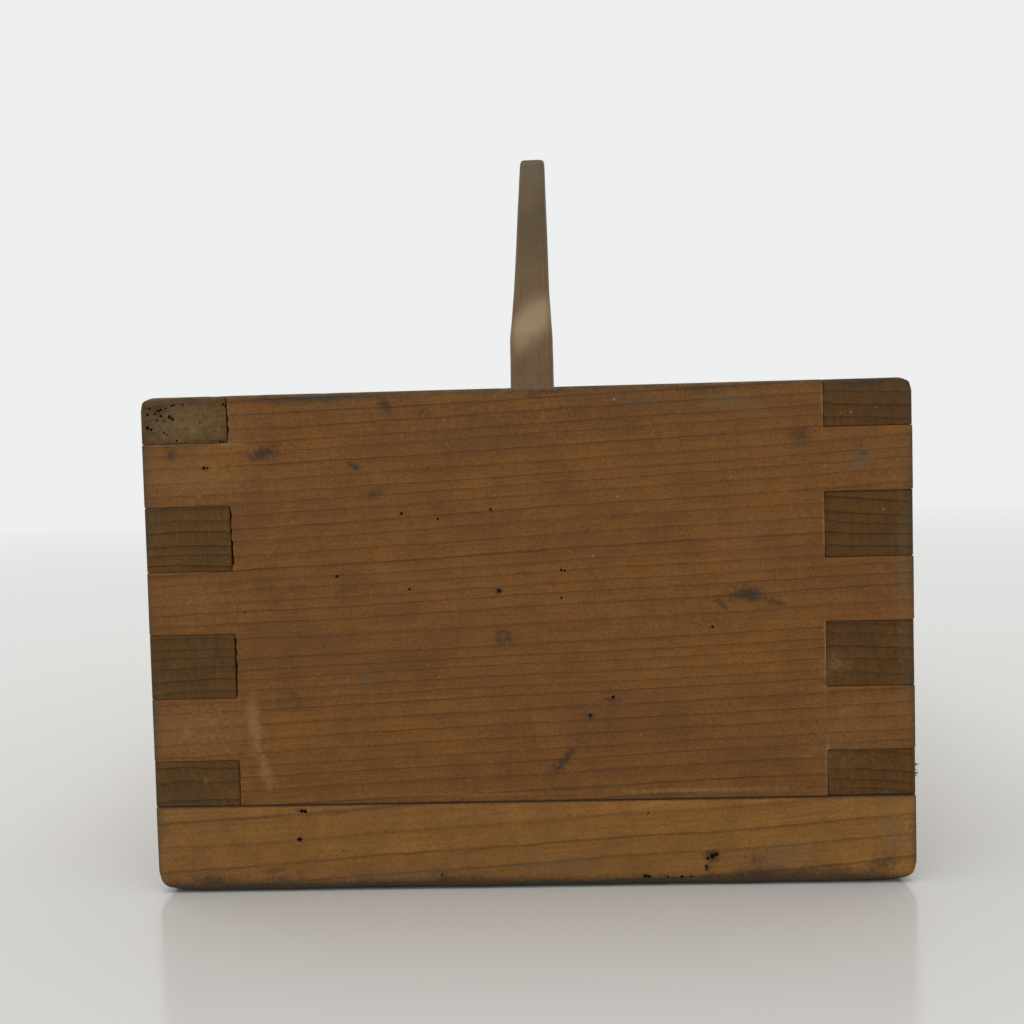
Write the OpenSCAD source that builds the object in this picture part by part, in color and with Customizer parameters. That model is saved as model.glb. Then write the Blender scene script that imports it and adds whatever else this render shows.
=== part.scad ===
// Hand corn planter: a finger-jointed seed box on a thick sole, with a hand lever that
// shuttles a seed slide under the hopper. Millimetres, +Z up, -Y is the leading end.
// The origin is on the ground, at the centre of the sole.

/* [Box] */
// Outer width across the side boards
box_w = 132; // [112:1:160]
// Outer length, leading end to trailing end
box_len = 250; // [240:1:300]
// Height of the walls above the sole
wall_h = 71.5; // [70:0.5:90]
// Thickness of the end boards and side boards
board_t = 15; // [12:0.5:17]
// Thickness of the sole
sole_t = 15; // [14:0.5:20]
// Height of the short fingers at the top and bottom of each corner
edge_finger_h = 8; // [5:0.5:12]
// Number of tails on each edge of an end board
tails = 3; // [2:1:4]
// Rounding of the upper long edges
top_round = 2; // [1:0.5:4]
// Rounding of the lower long edges of the sole
sole_round = 4; // [1:0.5:5]
// Rounding of the upright corners
corner_round = 0.8; // [0.5:0.1:2]

/* [Seed slide] */
// Width of the seed slide
slide_w = 34; // [30:1:40]
// Thickness of the seed slide
slide_t = 8.4; // [7:0.1:9]
// Diameter of the seed cell, for two or three kernels
cell_d = 14; // [10:0.5:16]
// Diameter of the outlet through the sole
outlet_d = 18; // [17:0.5:20]
// Wood left under the slide channel
web_t = 6; // [5:0.5:8]
// Thickness of the seed floor over the channel
floor_t = 6; // [4:0.5:8]
// Length of the feed hole
feed_len = 22; // [18:1:26]
// Width of the feed hole
feed_w = 24; // [18:1:28]
// Distance from the front board to the middle of the feed hole
feed_setback = 58; // [50:1:64]

/* [Hopper] */
// Thickness of the sloping hopper boards
slope_t = 5; // [4:0.5:7]
// Height of the end slopes above the seed floor
slope_rise = 45; // [34:1:50]
// Thickness of the partition behind the hopper
partition_t = 10; // [8:0.5:14]

/* [Lid and deck] */
// Thickness of the lid and of the deck
lid_t = 8; // [6:0.5:9]
// How far the lid and deck lie below the rim
rim_drop = 2.5; // [1.5:0.5:5]
// Width of the cleats that carry them
cleat_w = 9; // [7:0.5:12]
// Height of the cleats
cleat_h = 8; // [6:0.5:9]
// Diameter of the two lid pins
lid_pin_d = 3; // [2.4:0.1:4]
// Radius of the finger notch in the lid
notch_r = 12; // [8:1:16]

/* [Lever] */
// Thickness of the lever's blade
lever_t = 15.5; // [12:0.5:20]
// Front-to-back depth of the blade
blade_d = 24; // [20:1:28]
// Length from the pivot to the top of the grip
lever_reach = 131; // [120:0.5:170]
// Length from the pivot to the middle of the foot
foot_arm = 50; // [48:0.5:52]
// Angle that the lever leans back at rest, and forward when it drops
lean = 20; // [15:0.5:22]
// Diameter of the pivot pin
pin_d = 6; // [5:0.5:8]
// Width of the grip at its top
grip_top_w = 9.2; // [8:0.2:12]
// How far the grip's top stands to the right of the blade
grip_offset = 1.8; // [0:0.2:3]
// How far the grip narrows and swells, front to back
grip_waist = 1.8; // [0:0.2:3]

/* [Hidden] */
$fn = 64;

// Clearances
joint_gap = 0.1;     // beside each tail of a corner joint
fit_gap = 0.3;       // between a moving piece and what guides it
slide_gap = 0.3;     // above and below the seed slide
pin_gap = 0.05;      // radial, between a pin and what turns on it
set_gap = 0.02;      // radial, around a nail or a fixed pin
past = 1;            // how far a cut runs past a face

// Colours of the timbers and metals
wood_board = "#8a5c34";
wood_sole = "#94663a";
wood_dark = "#6f5338";
wood_pale = "#b08a58";
bamboo = "#b39a5c";
iron = "#4a4541";
bristle = "#3c2a1c";

// Box
top_z = sole_t + wall_h;
front_y = -box_len / 2;
rear_y = box_len / 2;
inner_w = box_w - 2 * board_t;
inner_front = front_y + board_t;
inner_rear = rear_y - board_t;
inner_len = box_len - 2 * board_t;
tail_h = (wall_h - 2 * edge_finger_h) / (2 * tails - 1);

// Seed floor, channel and slide
channel_d = sole_t - web_t;
floor_top = sole_t + floor_t;
slide_z = web_t + slide_gap;
slide_h = min(slide_t, channel_d - 2 * slide_gap);
channel_w = slide_w + 2 * fit_gap;

// Lever and its pivot
foot_r = 4.5;
foot_neck = 3.3;                                 // half depth of the shank just above the foot
foot_gap = 0.45;                                 // between the foot and each end of its mortise
foot_sink = 0.5;                                 // gap under the foot when the lever is upright
pivot_setback = 39;                              // pivot to the rear board
pivot_y = inner_rear - pivot_setback;
pivot_z = web_t + foot_sink + foot_r + foot_arm;
stroke = 2 * foot_arm * sin(lean);
foot_y = pivot_y - foot_arm * sin(lean);         // foot at rest
tongue_t = 12;                                   // thickness of the lever's foot
tongue_len = 26;                                 // how far the thin foot runs up the lever
mortise_l = 2 * (foot_r + foot_gap);
mortise_w = tongue_t + 2 * fit_gap;
boss_r = 13;
neck_s = 58;                                     // where the blade starts to narrow
waist_s = 78;                                    // where the quick narrowing ends
waist_w = 0.84 * lever_t;
top_r = 4;                                       // rounding of the grip's top, seen from the side

// Lid, deck and cleats
deck_z = top_z - rim_drop - lid_t;
lid_axis_y = inner_front + lid_t / 2 + 1.5;
lid_z = deck_z + fit_gap;                        // the lid's underside
lid_axis_z = lid_z + lid_t / 2;
lid_side_gap = 0.5;
lid_hole_l = 9;                                  // how far a lid pin enters the lid
batten_w = 10;
batten_t = 5;

// Partition and hopper
partition_rear = pivot_y - 49;
partition_front = partition_rear - partition_t;
lid_rear = partition_front + partition_t / 2;
deck_front = lid_rear + 0.5;
feed_y = inner_front + feed_setback;
feed_front = feed_y - feed_len / 2;
feed_rear = feed_y + feed_len / 2;
block_over = 3;                                  // how far the cut-off block overhangs the feed hole
block_d = 11;
block_h = 7;
block_front = feed_rear - block_over;
block_rear = block_front + block_d;
block_top = floor_top + block_h;
slope_top = floor_top + slope_rise;
side_foot = feed_w / 2 + 1;                      // foot of a side slope, from the middle
side_rise = inner_w / 2 - side_foot;             // the side slopes lie at 45 degrees
block_half = side_foot + block_h + 2;            // reaches past the side slopes
outlet_y = feed_y + stroke;

// Slide
slide_lead = feed_len / 2 + stroke + 2;          // closes the feed hole at the end of the stroke
slide_tail = 14;                                 // wood behind the mortise
slide_front = feed_y - slide_lead;
slide_rear = foot_y + mortise_l / 2 + slide_tail;
channel_front = slide_front - 1;
channel_rear = slide_rear + stroke + 1;

// Deck slot: the lever's blade at both ends of its swing
slot_gap = 0.4;
slot_half = blade_d / 2 / cos(lean) + (deck_z + lid_t - pivot_z) * tan(lean) + slot_gap;
floor_slot_half = (foot_arm - foot_r) * sin(lean) + 9.5;

// Nails
sole_nail_d = 2.6;
sole_nail_l = 30;
small_nail_d = 1.6;
small_nail_l = 13;
head_t = 1;
head_sink = 0.5;

// A block given by its two corners
module block(low, high) {
    translate(low)
        cube(high - low);
}

// An outline drawn in Y and Z, made w thick about X = 0
module side_prism(w) {
    rotate([90, 0, 90])
        linear_extrude(w, center = true)
            children();
}

// An outline drawn in X and Z, made d deep about Y = 0
module front_prism(d) {
    rotate([90, 0, 0])
        linear_extrude(d, center = true)
            children();
}

module rounded_rect(w, h, r) {
    square([w - 2 * r, h], center = true);
    square([w, h - 2 * r], center = true);
    for (x = [-1, 1], y = [-1, 1])
        translate([x * (w / 2 - r), y * (h / 2 - r)])
            circle(r);
}

// The box's outer form, which its boards are trimmed to
module box_form() {
    intersection() {
        linear_extrude(top_z)
            rounded_rect(box_w, box_len, corner_round);
        front_prism(box_len + 2 * past) {
            translate([0, top_z / 2])
                rounded_rect(box_w, top_z, top_round);
        }
    }
}

// The same with the sole's larger rounding
module sole_form() {
    intersection() {
        linear_extrude(top_z)
            rounded_rect(box_w, box_len, corner_round);
        front_prism(box_len + 2 * past) {
            translate([0, top_z / 2])
                rounded_rect(box_w, top_z, sole_round);
        }
    }
}

// A nail along -Z whose head is level with the origin
module nail(d, l) {
    translate([0, 0, -l])
        cylinder(d = d, h = l);
    translate([0, 0, -head_t])
        cylinder(d = 2 * d, h = head_t);
}

// The hole that a sunk nail leaves, open above its head
module nail_hole(d, l) {
    translate([0, 0, -l])
        cylinder(d = d + 2 * set_gap, h = l + past);
    translate([0, 0, -head_t])
        cylinder(d = 2 * d + 2 * set_gap, h = head_t + head_sink + past);
}

// Where the nails go: each child is placed at a nail's head, with the nail along -Z
module at_sole_nails() {
    side_x = (box_w - board_t) / 2;
    for (x = [-side_x, side_x], y = [-0.4, -0.1, 0.2, 0.42])
        translate([x, y * box_len, head_sink])
            rotate([180, 0, 0])
                children();
    for (x = [-box_w / 4, box_w / 4], y = [front_y + board_t / 2, rear_y - board_t / 2])
        translate([x, y, head_sink])
            rotate([180, 0, 0])
                children();
}

module at_floor_nails() {
    x_nail = (inner_w / 2 + channel_w / 2) / 2;
    for (x = [-x_nail, x_nail], y = [inner_front + 6, feed_y, partition_rear + 8, inner_rear - 8])
        translate([x, y, floor_top - head_sink])
            children();
}

module at_partition_nails() {
    for (x = [-1, 1], z = [floor_top + 12, deck_z - cleat_h - 10])
        translate([x * (box_w / 2 - head_sink), partition_rear - partition_t / 2, z])
            rotate([0, x * 90, 0])
                children();
}

module at_cleat_nails() {
    for (x = [-1, 1], y = [-0.38, 0, 0.38])
        translate([x * (inner_w / 2 - cleat_w + head_sink), y * inner_len, deck_z - cleat_h / 2])
            rotate([0, -x * 90, 0])
                children();
}

module at_deck_nails() {
    for (x = [-1, 1], y = [deck_front + 10, inner_rear - 10])
        translate([x * (inner_w / 2 - cleat_w / 2), y, deck_z + lid_t - head_sink])
            children();
}

batten_half = inner_w / 2 - cleat_w - 1.5;
batten_ys = [lid_axis_y + 20, lid_rear - 24];

module at_batten_nails() {
    for (x = [-0.7, 0.7], y = batten_ys)
        translate([x * batten_half, y, lid_z + lid_t - head_sink])
            children();
}

module at_cutoff_nails() {
    for (x = [-1, 1])
        translate([x * (block_half - 4), block_rear - 3.5, block_top - head_sink])
            children();
}

// Places its child at the middle of each upright row of an end board's tails
module at_tails() {
    for (i = [0 : tails - 1])
        translate([0, 0, sole_t + edge_finger_h + 2 * i * tail_h])
            children();
}

// An end board, with its tails through to the side faces
module end_board(y) {
    color(wood_board)
        difference() {
            intersection() {
                union() {
                    block([-inner_w / 2 + joint_gap, y, sole_t],
                        [inner_w / 2 - joint_gap, y + board_t, top_z]);
                    at_tails()
                        block([-box_w / 2, y, joint_gap], [box_w / 2, y + board_t, tail_h - joint_gap]);
                }
                box_form();
            }
            at_sole_nails()
                nail_hole(sole_nail_d, sole_nail_l);
        }
}

module front_board() end_board(front_y);

module rear_board() end_board(rear_y - board_t);

// A side board, with a socket for each tail and holes for the pins that pass through it
module side_board(side) {
    x = side * (box_w - board_t) / 2;
    color(wood_dark)
        difference() {
            intersection() {
                block([x - board_t / 2, front_y, sole_t], [x + board_t / 2, rear_y, top_z]);
                box_form();
            }
            at_tails()
                for (y = [front_y - past, inner_rear])
                    block([x - board_t / 2 - past, y, 0], [x + board_t / 2 + past, y + board_t + past, tail_h]);
            translate([x, pivot_y, pivot_z])
                rotate([0, 90, 0])
                    cylinder(d = pin_d + 2 * set_gap, h = board_t + 2 * past, center = true);
            translate([x, lid_axis_y, lid_axis_z])
                rotate([0, 90, 0])
                    cylinder(d = lid_pin_d + 2 * set_gap, h = board_t + 2 * past, center = true);
            at_sole_nails()
                nail_hole(sole_nail_d, sole_nail_l);
            at_cleat_nails()
                nail_hole(small_nail_d, small_nail_l);
            at_partition_nails()
                nail_hole(small_nail_d, board_t + 9);
        }
}

module left_side() side_board(-1);

module right_side() side_board(1);

// The sole, with the slide's channel in its top and the outlet through the web below it
module sole() {
    color(wood_sole)
        difference() {
            intersection() {
                block([-box_w / 2, front_y, 0], [box_w / 2, rear_y, sole_t]);
                sole_form();
            }
            block([-channel_w / 2, channel_front, web_t], [channel_w / 2, channel_rear, sole_t + past]);
            translate([0, outlet_y, -past])
                cylinder(d = outlet_d, h = web_t + 2 * past);
            at_sole_nails()
                nail_hole(sole_nail_d, sole_nail_l);
            at_floor_nails()
                nail_hole(small_nail_d, small_nail_l);
        }
}

module sole_nails() {
    color(iron)
        at_sole_nails()
            nail(sole_nail_d, sole_nail_l);
}

// The thin floor that roofs the channel, with the feed hole and the lever's slot
module seed_floor() {
    color(wood_pale)
        difference() {
            block([-inner_w / 2 + joint_gap, inner_front + joint_gap, sole_t],
                [inner_w / 2 - joint_gap, inner_rear - joint_gap, floor_top]);
            block([-feed_w / 2, feed_front, sole_t - past], [feed_w / 2, feed_rear, floor_top + past]);
            block([-tongue_t / 2 - 1, pivot_y - floor_slot_half, sole_t - past],
                [tongue_t / 2 + 1, pivot_y + floor_slot_half, floor_top + past]);
            at_floor_nails()
                nail_hole(small_nail_d, small_nail_l);
            at_cutoff_nails()
                nail_hole(small_nail_d, small_nail_l - 1);
        }
}

module floor_nails() {
    color(iron)
        at_floor_nails()
            nail(small_nail_d, small_nail_l);
}

// The slide, with its seed cell in front and the mortise for the lever's foot behind
module seed_slide() {
    color(wood_pale)
        difference() {
            block([-slide_w / 2, slide_front, slide_z], [slide_w / 2, slide_rear, slide_z + slide_h]);
            translate([0, feed_y, 0])
                cylinder(d = cell_d, h = sole_t);
            block([-mortise_w / 2, foot_y - mortise_l / 2, 0],
                [mortise_w / 2, foot_y + mortise_l / 2, sole_t]);
        }
}

// Section of a sloping board that falls from (y0, z0) to (y1, z1), drawn in Y and Z
module slope_section(y0, z0, y1, z1) {
    angle = atan2(z0 - z1, abs(y1 - y0));
    away = sign(y0 - y1);
    polygon([[y0, z0], [y1, z1], [y1 + away * slope_t / sin(angle), z1], [y0, z0 - slope_t / cos(angle)]]);
}

module front_slope() {
    color(wood_pale)
        side_prism(inner_w - 2 * joint_gap)
            slope_section(inner_front, slope_top, feed_front, floor_top);
}

module rear_slope() {
    color(wood_pale)
        side_prism(inner_w - 2 * joint_gap)
            slope_section(partition_front, slope_top, block_front + 1, block_top);
}

// A side slope, cut to fit on the two end slopes
module side_slope(side) {
    color(wood_pale)
        intersection() {
            translate([0, feed_y, 0])
                front_prism(inner_len)
                    polygon([[side * side_foot, floor_top],
                        [side * (inner_w / 2 - joint_gap), floor_top + side_rise - joint_gap],
                        [side * (inner_w / 2 - joint_gap), floor_top + side_rise - slope_t * sqrt(2)],
                        [side * (side_foot + slope_t * sqrt(2)), floor_top]]);
            side_prism(box_w)
                polygon([[inner_front, slope_top], [partition_front, slope_top],
                    [block_front + 1, block_top], [block_front, block_top],
                    [block_front, floor_top], [feed_front, floor_top]]);
        }
}

module left_slope() side_slope(-1);

module right_slope() side_slope(1);

// The wall between the hopper and the lever
module partition() {
    color(wood_pale)
        difference() {
            block([-inner_w / 2 + joint_gap, partition_front, floor_top],
                [inner_w / 2 - joint_gap, partition_rear, deck_z]);
            for (side = [-1, 1])
                block([side * inner_w / 2 - cleat_w, partition_front - past, deck_z - cleat_h],
                    [side * inner_w / 2 + cleat_w, partition_rear + past, deck_z + past]);
            at_partition_nails()
                nail_hole(small_nail_d, board_t + 9);
        }
}

module partition_nails() {
    color(iron)
        at_partition_nails()
            nail(small_nail_d, board_t + 9);
}

// Bristle tuft, from its slot in the block down to just above the slide
bristle_d = 2.2;
bristle_root = 3;
bristle_y = feed_rear - 1.6;

module cutoff_block() {
    color(wood_dark)
        difference() {
            block([-block_half, block_front, floor_top], [block_half, block_rear, block_top]);
            block([-feed_w / 2 + 2, bristle_y - bristle_d / 2, floor_top - past],
                [feed_w / 2 - 2, bristle_y + bristle_d / 2, floor_top + bristle_root]);
            at_cutoff_nails()
                nail_hole(small_nail_d, small_nail_l);
        }
}

module cutoff_bristles() {
    color(bristle)
        block([-feed_w / 2 + 2, bristle_y - bristle_d / 2, sole_t + fit_gap],
            [feed_w / 2 - 2, bristle_y + bristle_d / 2, floor_top + bristle_root]);
}

module cutoff_nails() {
    color(iron)
        at_cutoff_nails()
            nail(small_nail_d, small_nail_l - 1);
}

// A cleat that carries the lid and the deck along one side
module cleat(side) {
    x = side * (inner_w - cleat_w) / 2;
    color(wood_pale)
        difference() {
            block([x - cleat_w / 2, inner_front + joint_gap, deck_z - cleat_h],
                [x + cleat_w / 2, inner_rear - joint_gap, deck_z]);
            at_cleat_nails()
                nail_hole(small_nail_d, small_nail_l);
            at_deck_nails()
                nail_hole(small_nail_d, small_nail_l);
        }
}

module left_cleat() cleat(-1);

module right_cleat() cleat(1);

module cleat_nails() {
    color(iron)
        at_cleat_nails()
            nail(small_nail_d, small_nail_l);
}

// The fixed deck over the lever's works
module deck() {
    color(wood_board)
        difference() {
            block([-inner_w / 2 + joint_gap, deck_front, deck_z],
                [inner_w / 2 - joint_gap, inner_rear - joint_gap, deck_z + lid_t]);
            block([-lever_t / 2 - 2 * fit_gap, pivot_y - slot_half, deck_z - past],
                [lever_t / 2 + 2 * fit_gap, pivot_y + slot_half, deck_z + lid_t + past]);
            at_deck_nails()
                nail_hole(small_nail_d, small_nail_l);
        }
}

module deck_nails() {
    color(iron)
        at_deck_nails()
            nail(small_nail_d, small_nail_l);
}

// The hopper lid, rounded about its two pins, with a finger notch in its free edge
module lid() {
    half = inner_w / 2 - lid_side_gap;
    color(wood_board)
        difference() {
            union() {
                block([-half, lid_axis_y, lid_z], [half, lid_rear, lid_z + lid_t]);
                translate([0, lid_axis_y, lid_axis_z])
                    rotate([0, 90, 0])
                        cylinder(r = lid_t / 2 - fit_gap, h = 2 * half, center = true);
            }
            translate([0, lid_rear, deck_z - past])
                cylinder(r = notch_r, h = lid_t + 2 * past);
            for (x = [-half, half])
                translate([x, lid_axis_y, lid_axis_z])
                    rotate([0, 90, 0])
                        cylinder(d = lid_pin_d + 2 * pin_gap, h = 2 * lid_hole_l + 1, center = true);
            at_batten_nails()
                nail_hole(small_nail_d, small_nail_l);
        }
}

// The two battens that keep the lid flat
module lid_battens() {
    color(wood_pale)
        difference() {
            for (y = batten_ys)
                block([-batten_half, y - batten_w / 2, lid_z - batten_t],
                    [batten_half, y + batten_w / 2, lid_z]);
            at_batten_nails()
                nail_hole(small_nail_d, lid_t + batten_t - 1);
        }
}

module batten_nails() {
    color(iron)
        at_batten_nails()
            nail(small_nail_d, lid_t + batten_t - 1.5);
}

// The pins that the lid turns on, one driven through each side board
module lid_pins() {
    lid_pin_l = board_t + lid_side_gap + lid_hole_l;
    color(iron)
        for (side = [-1, 1])
            translate([side * (box_w / 2 - lid_pin_l / 2), lid_axis_y, lid_axis_z])
                rotate([0, 90, 0])
                    cylinder(d = lid_pin_d, h = lid_pin_l, center = true);
}

// Half depth of the grip at s above the pivot: a narrowing, a swelling, and a rounded top
function grip_half(s) =
    blade_d / 2 - grip_waist * sin(360 * (s - neck_s) / (lever_reach - neck_s))
    - top_r + sqrt(max(0, top_r * top_r - pow(max(0, s - lever_reach + top_r), 2)));

// The lever upright, about its pivot
module lever_form() {
    steps = 24;
    heights = [for (i = [0 : steps]) neck_s + (lever_reach - neck_s) * i / steps];
    right_edge = [for (s = heights) [grip_half(s), s]];
    left_edge = [for (i = [steps : -1 : 0]) [-grip_half(heights[i]), heights[i]]];
    intersection() {
        side_prism(lever_t) {
            circle(boss_r);
            translate([0, -foot_arm])
                circle(foot_r);
            polygon([[-foot_neck, -foot_arm], [foot_neck, -foot_arm], [boss_r - 1, 0], [-boss_r + 1, 0]]);
            polygon(concat([[-blade_d / 2, 0], [blade_d / 2, 0]], right_edge, left_edge));
        }
        front_prism(2 * blade_d)
            polygon([[-tongue_t / 2, -foot_arm - 2 * foot_r], [tongue_t / 2, -foot_arm - 2 * foot_r],
                [tongue_t / 2, tongue_len - foot_arm], [lever_t / 2, tongue_len - foot_arm + 2],
                [lever_t / 2, neck_s],
                [waist_w / 2 + grip_offset * 0.27, waist_s],
                [grip_top_w / 2 + grip_offset, lever_reach + past],
                [-grip_top_w / 2 + grip_offset, lever_reach + past],
                [-waist_w / 2 + grip_offset * 0.27, waist_s],
                [-lever_t / 2, neck_s],
                [-lever_t / 2, tongue_len - foot_arm + 2], [-tongue_t / 2, tongue_len - foot_arm]]);
    }
}

module hand_lever() {
    color(wood_dark)
        translate([0, pivot_y, pivot_z])
            rotate([-lean, 0, 0])
                difference() {
                    lever_form();
                    rotate([0, 90, 0])
                        cylinder(d = pin_d + 2 * pin_gap, h = lever_t + 2 * past, center = true);
                }
}

washer_t = 1.2;
washer_d = 14;
pin_head_d = 11;
pin_head_h = 2.6;

// The pivot pin: a rod through both sides, headed at one end and riveted over at the other
module pivot_pin() {
    grip_l = box_w + 2 * washer_t;
    color(iron)
        translate([-grip_l / 2, pivot_y, pivot_z])
            rotate([0, 90, 0]) {
                cylinder(d = pin_d, h = grip_l);
                translate([0, 0, -pin_head_h])
                    cylinder(d1 = 0.6 * pin_head_d, d2 = pin_head_d, h = pin_head_h);
                translate([0, 0, grip_l])
                    cylinder(d1 = pin_d + 2.4, d2 = pin_d, h = 1.6);
            }
}

module pin_washers() {
    color(iron)
        for (side = [-1, 1])
            translate([side * (box_w + washer_t) / 2, pivot_y, pivot_z])
                rotate([0, 90, 0])
                    difference() {
                        cylinder(d = washer_d, h = washer_t, center = true);
                        cylinder(d = pin_d + 2 * pin_gap, h = washer_t + past, center = true);
                    }
}

// A bamboo tube on the pin, which keeps the lever in the middle
module spacer(side) {
    long = (inner_w - lever_t) / 2 - 2 * fit_gap;
    color(bamboo)
        translate([side * (inner_w + lever_t) / 4, pivot_y, pivot_z])
            rotate([0, 90, 0])
                difference() {
                    cylinder(d = 2 * pin_d + 1, h = long, center = true);
                    cylinder(d = pin_d + 2 * pin_gap, h = long + past, center = true);
                }
}

module left_spacer() spacer(-1);

module right_spacer() spacer(1);

front_board();
rear_board();
left_side();
right_side();
sole();
sole_nails();
seed_floor();
floor_nails();
seed_slide();
front_slope();
rear_slope();
left_slope();
right_slope();
partition();
partition_nails();
cutoff_block();
cutoff_bristles();
cutoff_nails();
left_cleat();
right_cleat();
cleat_nails();
deck();
deck_nails();
lid();
lid_battens();
batten_nails();
lid_pins();
hand_lever();
pivot_pin();
pin_washers();
left_spacer();
right_spacer();
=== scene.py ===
"""Hand corn planter: a weathered, finger-jointed seed box on a thick sole, with a hand lever, a seed slide and a lid.

Shapes are worked out in millimetres in the row frame, and become metres when a mesh is made.
"""
import functools
import math

import bpy
import numpy as np
from mathutils import Matrix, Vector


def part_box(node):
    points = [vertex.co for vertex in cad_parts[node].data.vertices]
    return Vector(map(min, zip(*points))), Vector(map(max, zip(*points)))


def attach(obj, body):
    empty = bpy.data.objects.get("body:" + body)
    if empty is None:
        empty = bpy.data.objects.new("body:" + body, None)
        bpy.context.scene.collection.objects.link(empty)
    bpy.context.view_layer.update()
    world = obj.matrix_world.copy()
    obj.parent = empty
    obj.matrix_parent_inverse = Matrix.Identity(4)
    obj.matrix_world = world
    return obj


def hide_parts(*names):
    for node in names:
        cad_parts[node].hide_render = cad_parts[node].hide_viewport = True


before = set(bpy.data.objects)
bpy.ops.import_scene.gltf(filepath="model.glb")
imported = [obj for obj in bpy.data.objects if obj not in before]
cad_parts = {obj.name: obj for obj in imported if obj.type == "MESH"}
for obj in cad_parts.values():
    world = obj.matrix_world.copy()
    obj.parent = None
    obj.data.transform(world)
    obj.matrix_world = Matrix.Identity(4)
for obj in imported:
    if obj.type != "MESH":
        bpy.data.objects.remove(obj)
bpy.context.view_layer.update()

# ------------------------------------------------------------------------------
# The sole: one thick softwood board under the whole box, with its grain across the box. The seed slide's channel
# is chopped in its top and the outlet bored through the wood below it. Its lower edges are rubbed round and dark
# from standing on earth and floors, and their dark band also carries painted contact shadow.
# ------------------------------------------------------------------------------
MM = 1000.0
X, Y, Z = 0, 1, 2


def box_mm(node):
    """Lowest and highest corner of a CAD node in millimetres."""
    low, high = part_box(node)
    return np.array(low) * MM, np.array(high) * MM


def mesh_points(mesh):
    """The vertices of a mesh in millimetres."""
    flat = np.zeros(len(mesh.vertices) * 3)
    mesh.vertices.foreach_get("co", flat)
    return flat.reshape(-1, 3) * MM


def points_mm(node):
    """The vertices of a CAD node in millimetres."""
    return mesh_points(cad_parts[node].data)


CELL_CORNERS = [np.array([corner & 1, corner >> 1 & 1, corner >> 2 & 1]) for corner in range(8)]


def lattice_noise(points, spacing, seed):
    """Value noise from -1 to 1: a hashed number at each corner of a lattice with that spacing, one spacing for
    each axis or one for all, blended with smooth steps along the three axes."""
    cell = points / np.asarray(spacing, float)
    base = np.floor(cell).astype(np.int64)
    part = cell - base
    part = part * part * (3 - 2 * part)
    total = np.zeros(len(points))
    for step in CELL_CORNERS:
        key = base + step
        mixed = key[:, X] * 73856093 ^ key[:, Y] * 19349663 ^ key[:, Z] * 83492791 ^ seed * 2654435761
        mixed = (mixed ^ mixed >> 13) * 1274126177
        mixed = (mixed ^ mixed >> 16) & 0xFFFF
        total += np.prod(np.where(step, part, 1 - part), axis=1) * mixed / 0xFFFF
    return 2 * total - 1


def grid_lines(marks, step, beside=(0.2, 0.5, 0.9, 1.5, 2.3, 3.3)):
    """Coordinates that pass through every mark, crowd in beside each mark, and elsewhere lie a step apart."""
    marks = np.unique(np.round(marks, 3))
    lines = [marks]
    for low, high in zip(marks[:-1], marks[1:]):
        near = np.array([d for d in beside if d < 0.45 * (high - low)])
        if len(near) == 0:
            continue
        start, end = low + near[-1], high - near[-1]
        count = max(1, math.ceil((end - start) / step))
        lines += [low + near, high - near, np.linspace(start, end, count + 1)]
    return np.unique(np.round(np.concatenate(lines), 4))


def sawn_board(solids, cuts, steps, soften=0.09):
    """Surface of a board made of boxes less cut boxes. Grid lines run through all their faces, each cell of the
    grid is wood or air, and a quad stands wherever wood meets air. Points on outer edges, which touch one or two
    cells of wood, move into the wood by soften, so that every arris is slightly rounded."""
    low, high = np.min([s[0] for s in solids], axis=0), np.max([s[1] for s in solids], axis=0)
    marks = np.clip(np.concatenate([np.asarray(b) for b in [*solids, *cuts]]), low, high)
    lines = [grid_lines(marks[:, axis], steps[axis]) for axis in (X, Y, Z)]
    centres = [(line[1:] + line[:-1]) / 2 for line in lines]
    wood = np.zeros([len(c) for c in centres], bool)
    for boxes, value in ((solids, True), (cuts, False)):
        for corner_a, corner_b in boxes:
            inside = [(c > corner_a[axis]) & (c < corner_b[axis]) for axis, c in enumerate(centres)]
            wood[np.ix_(*inside)] = value
    padded = np.pad(wood, 1).astype(np.int8)
    shape = [len(line) for line in lines]
    quads = []
    for axis in (X, Y, Z):
        b, c = (axis + 1) % 3, (axis + 2) % 3
        crop = [slice(1, -1)] * 3
        crop[axis] = slice(None)
        change = np.diff(padded, axis=axis)[tuple(slice(None) if i == axis else crop[i] for i in range(3))]
        for sign in (1, -1):
            cell = np.argwhere(change == sign)
            corner = [cell.copy() for _ in range(4)]
            corner[1][:, b] += 1
            corner[2][:, [b, c]] += 1
            corner[3][:, c] += 1
            ids = np.stack([np.ravel_multi_index(k.T, shape) for k in corner], axis=1)
            quads.append(ids[:, ::-1] if sign == 1 else ids)
    ids, quads = np.unique(np.concatenate(quads), return_inverse=True)
    node = np.stack(np.unravel_index(ids, shape), axis=1)
    points = np.stack([lines[axis][node[:, axis]] for axis in (X, Y, Z)], axis=1)
    touching, inward = np.zeros(len(node)), np.zeros((len(node), 3))
    for step in CELL_CORNERS:
        here = padded[tuple((node + step).T)]
        touching += here
        inward += here[:, None] * (2 * step - 1)
    points += soften * np.sign(inward) * (touching < 3)[:, None]
    return points, quads.reshape(-1, 4)


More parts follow.
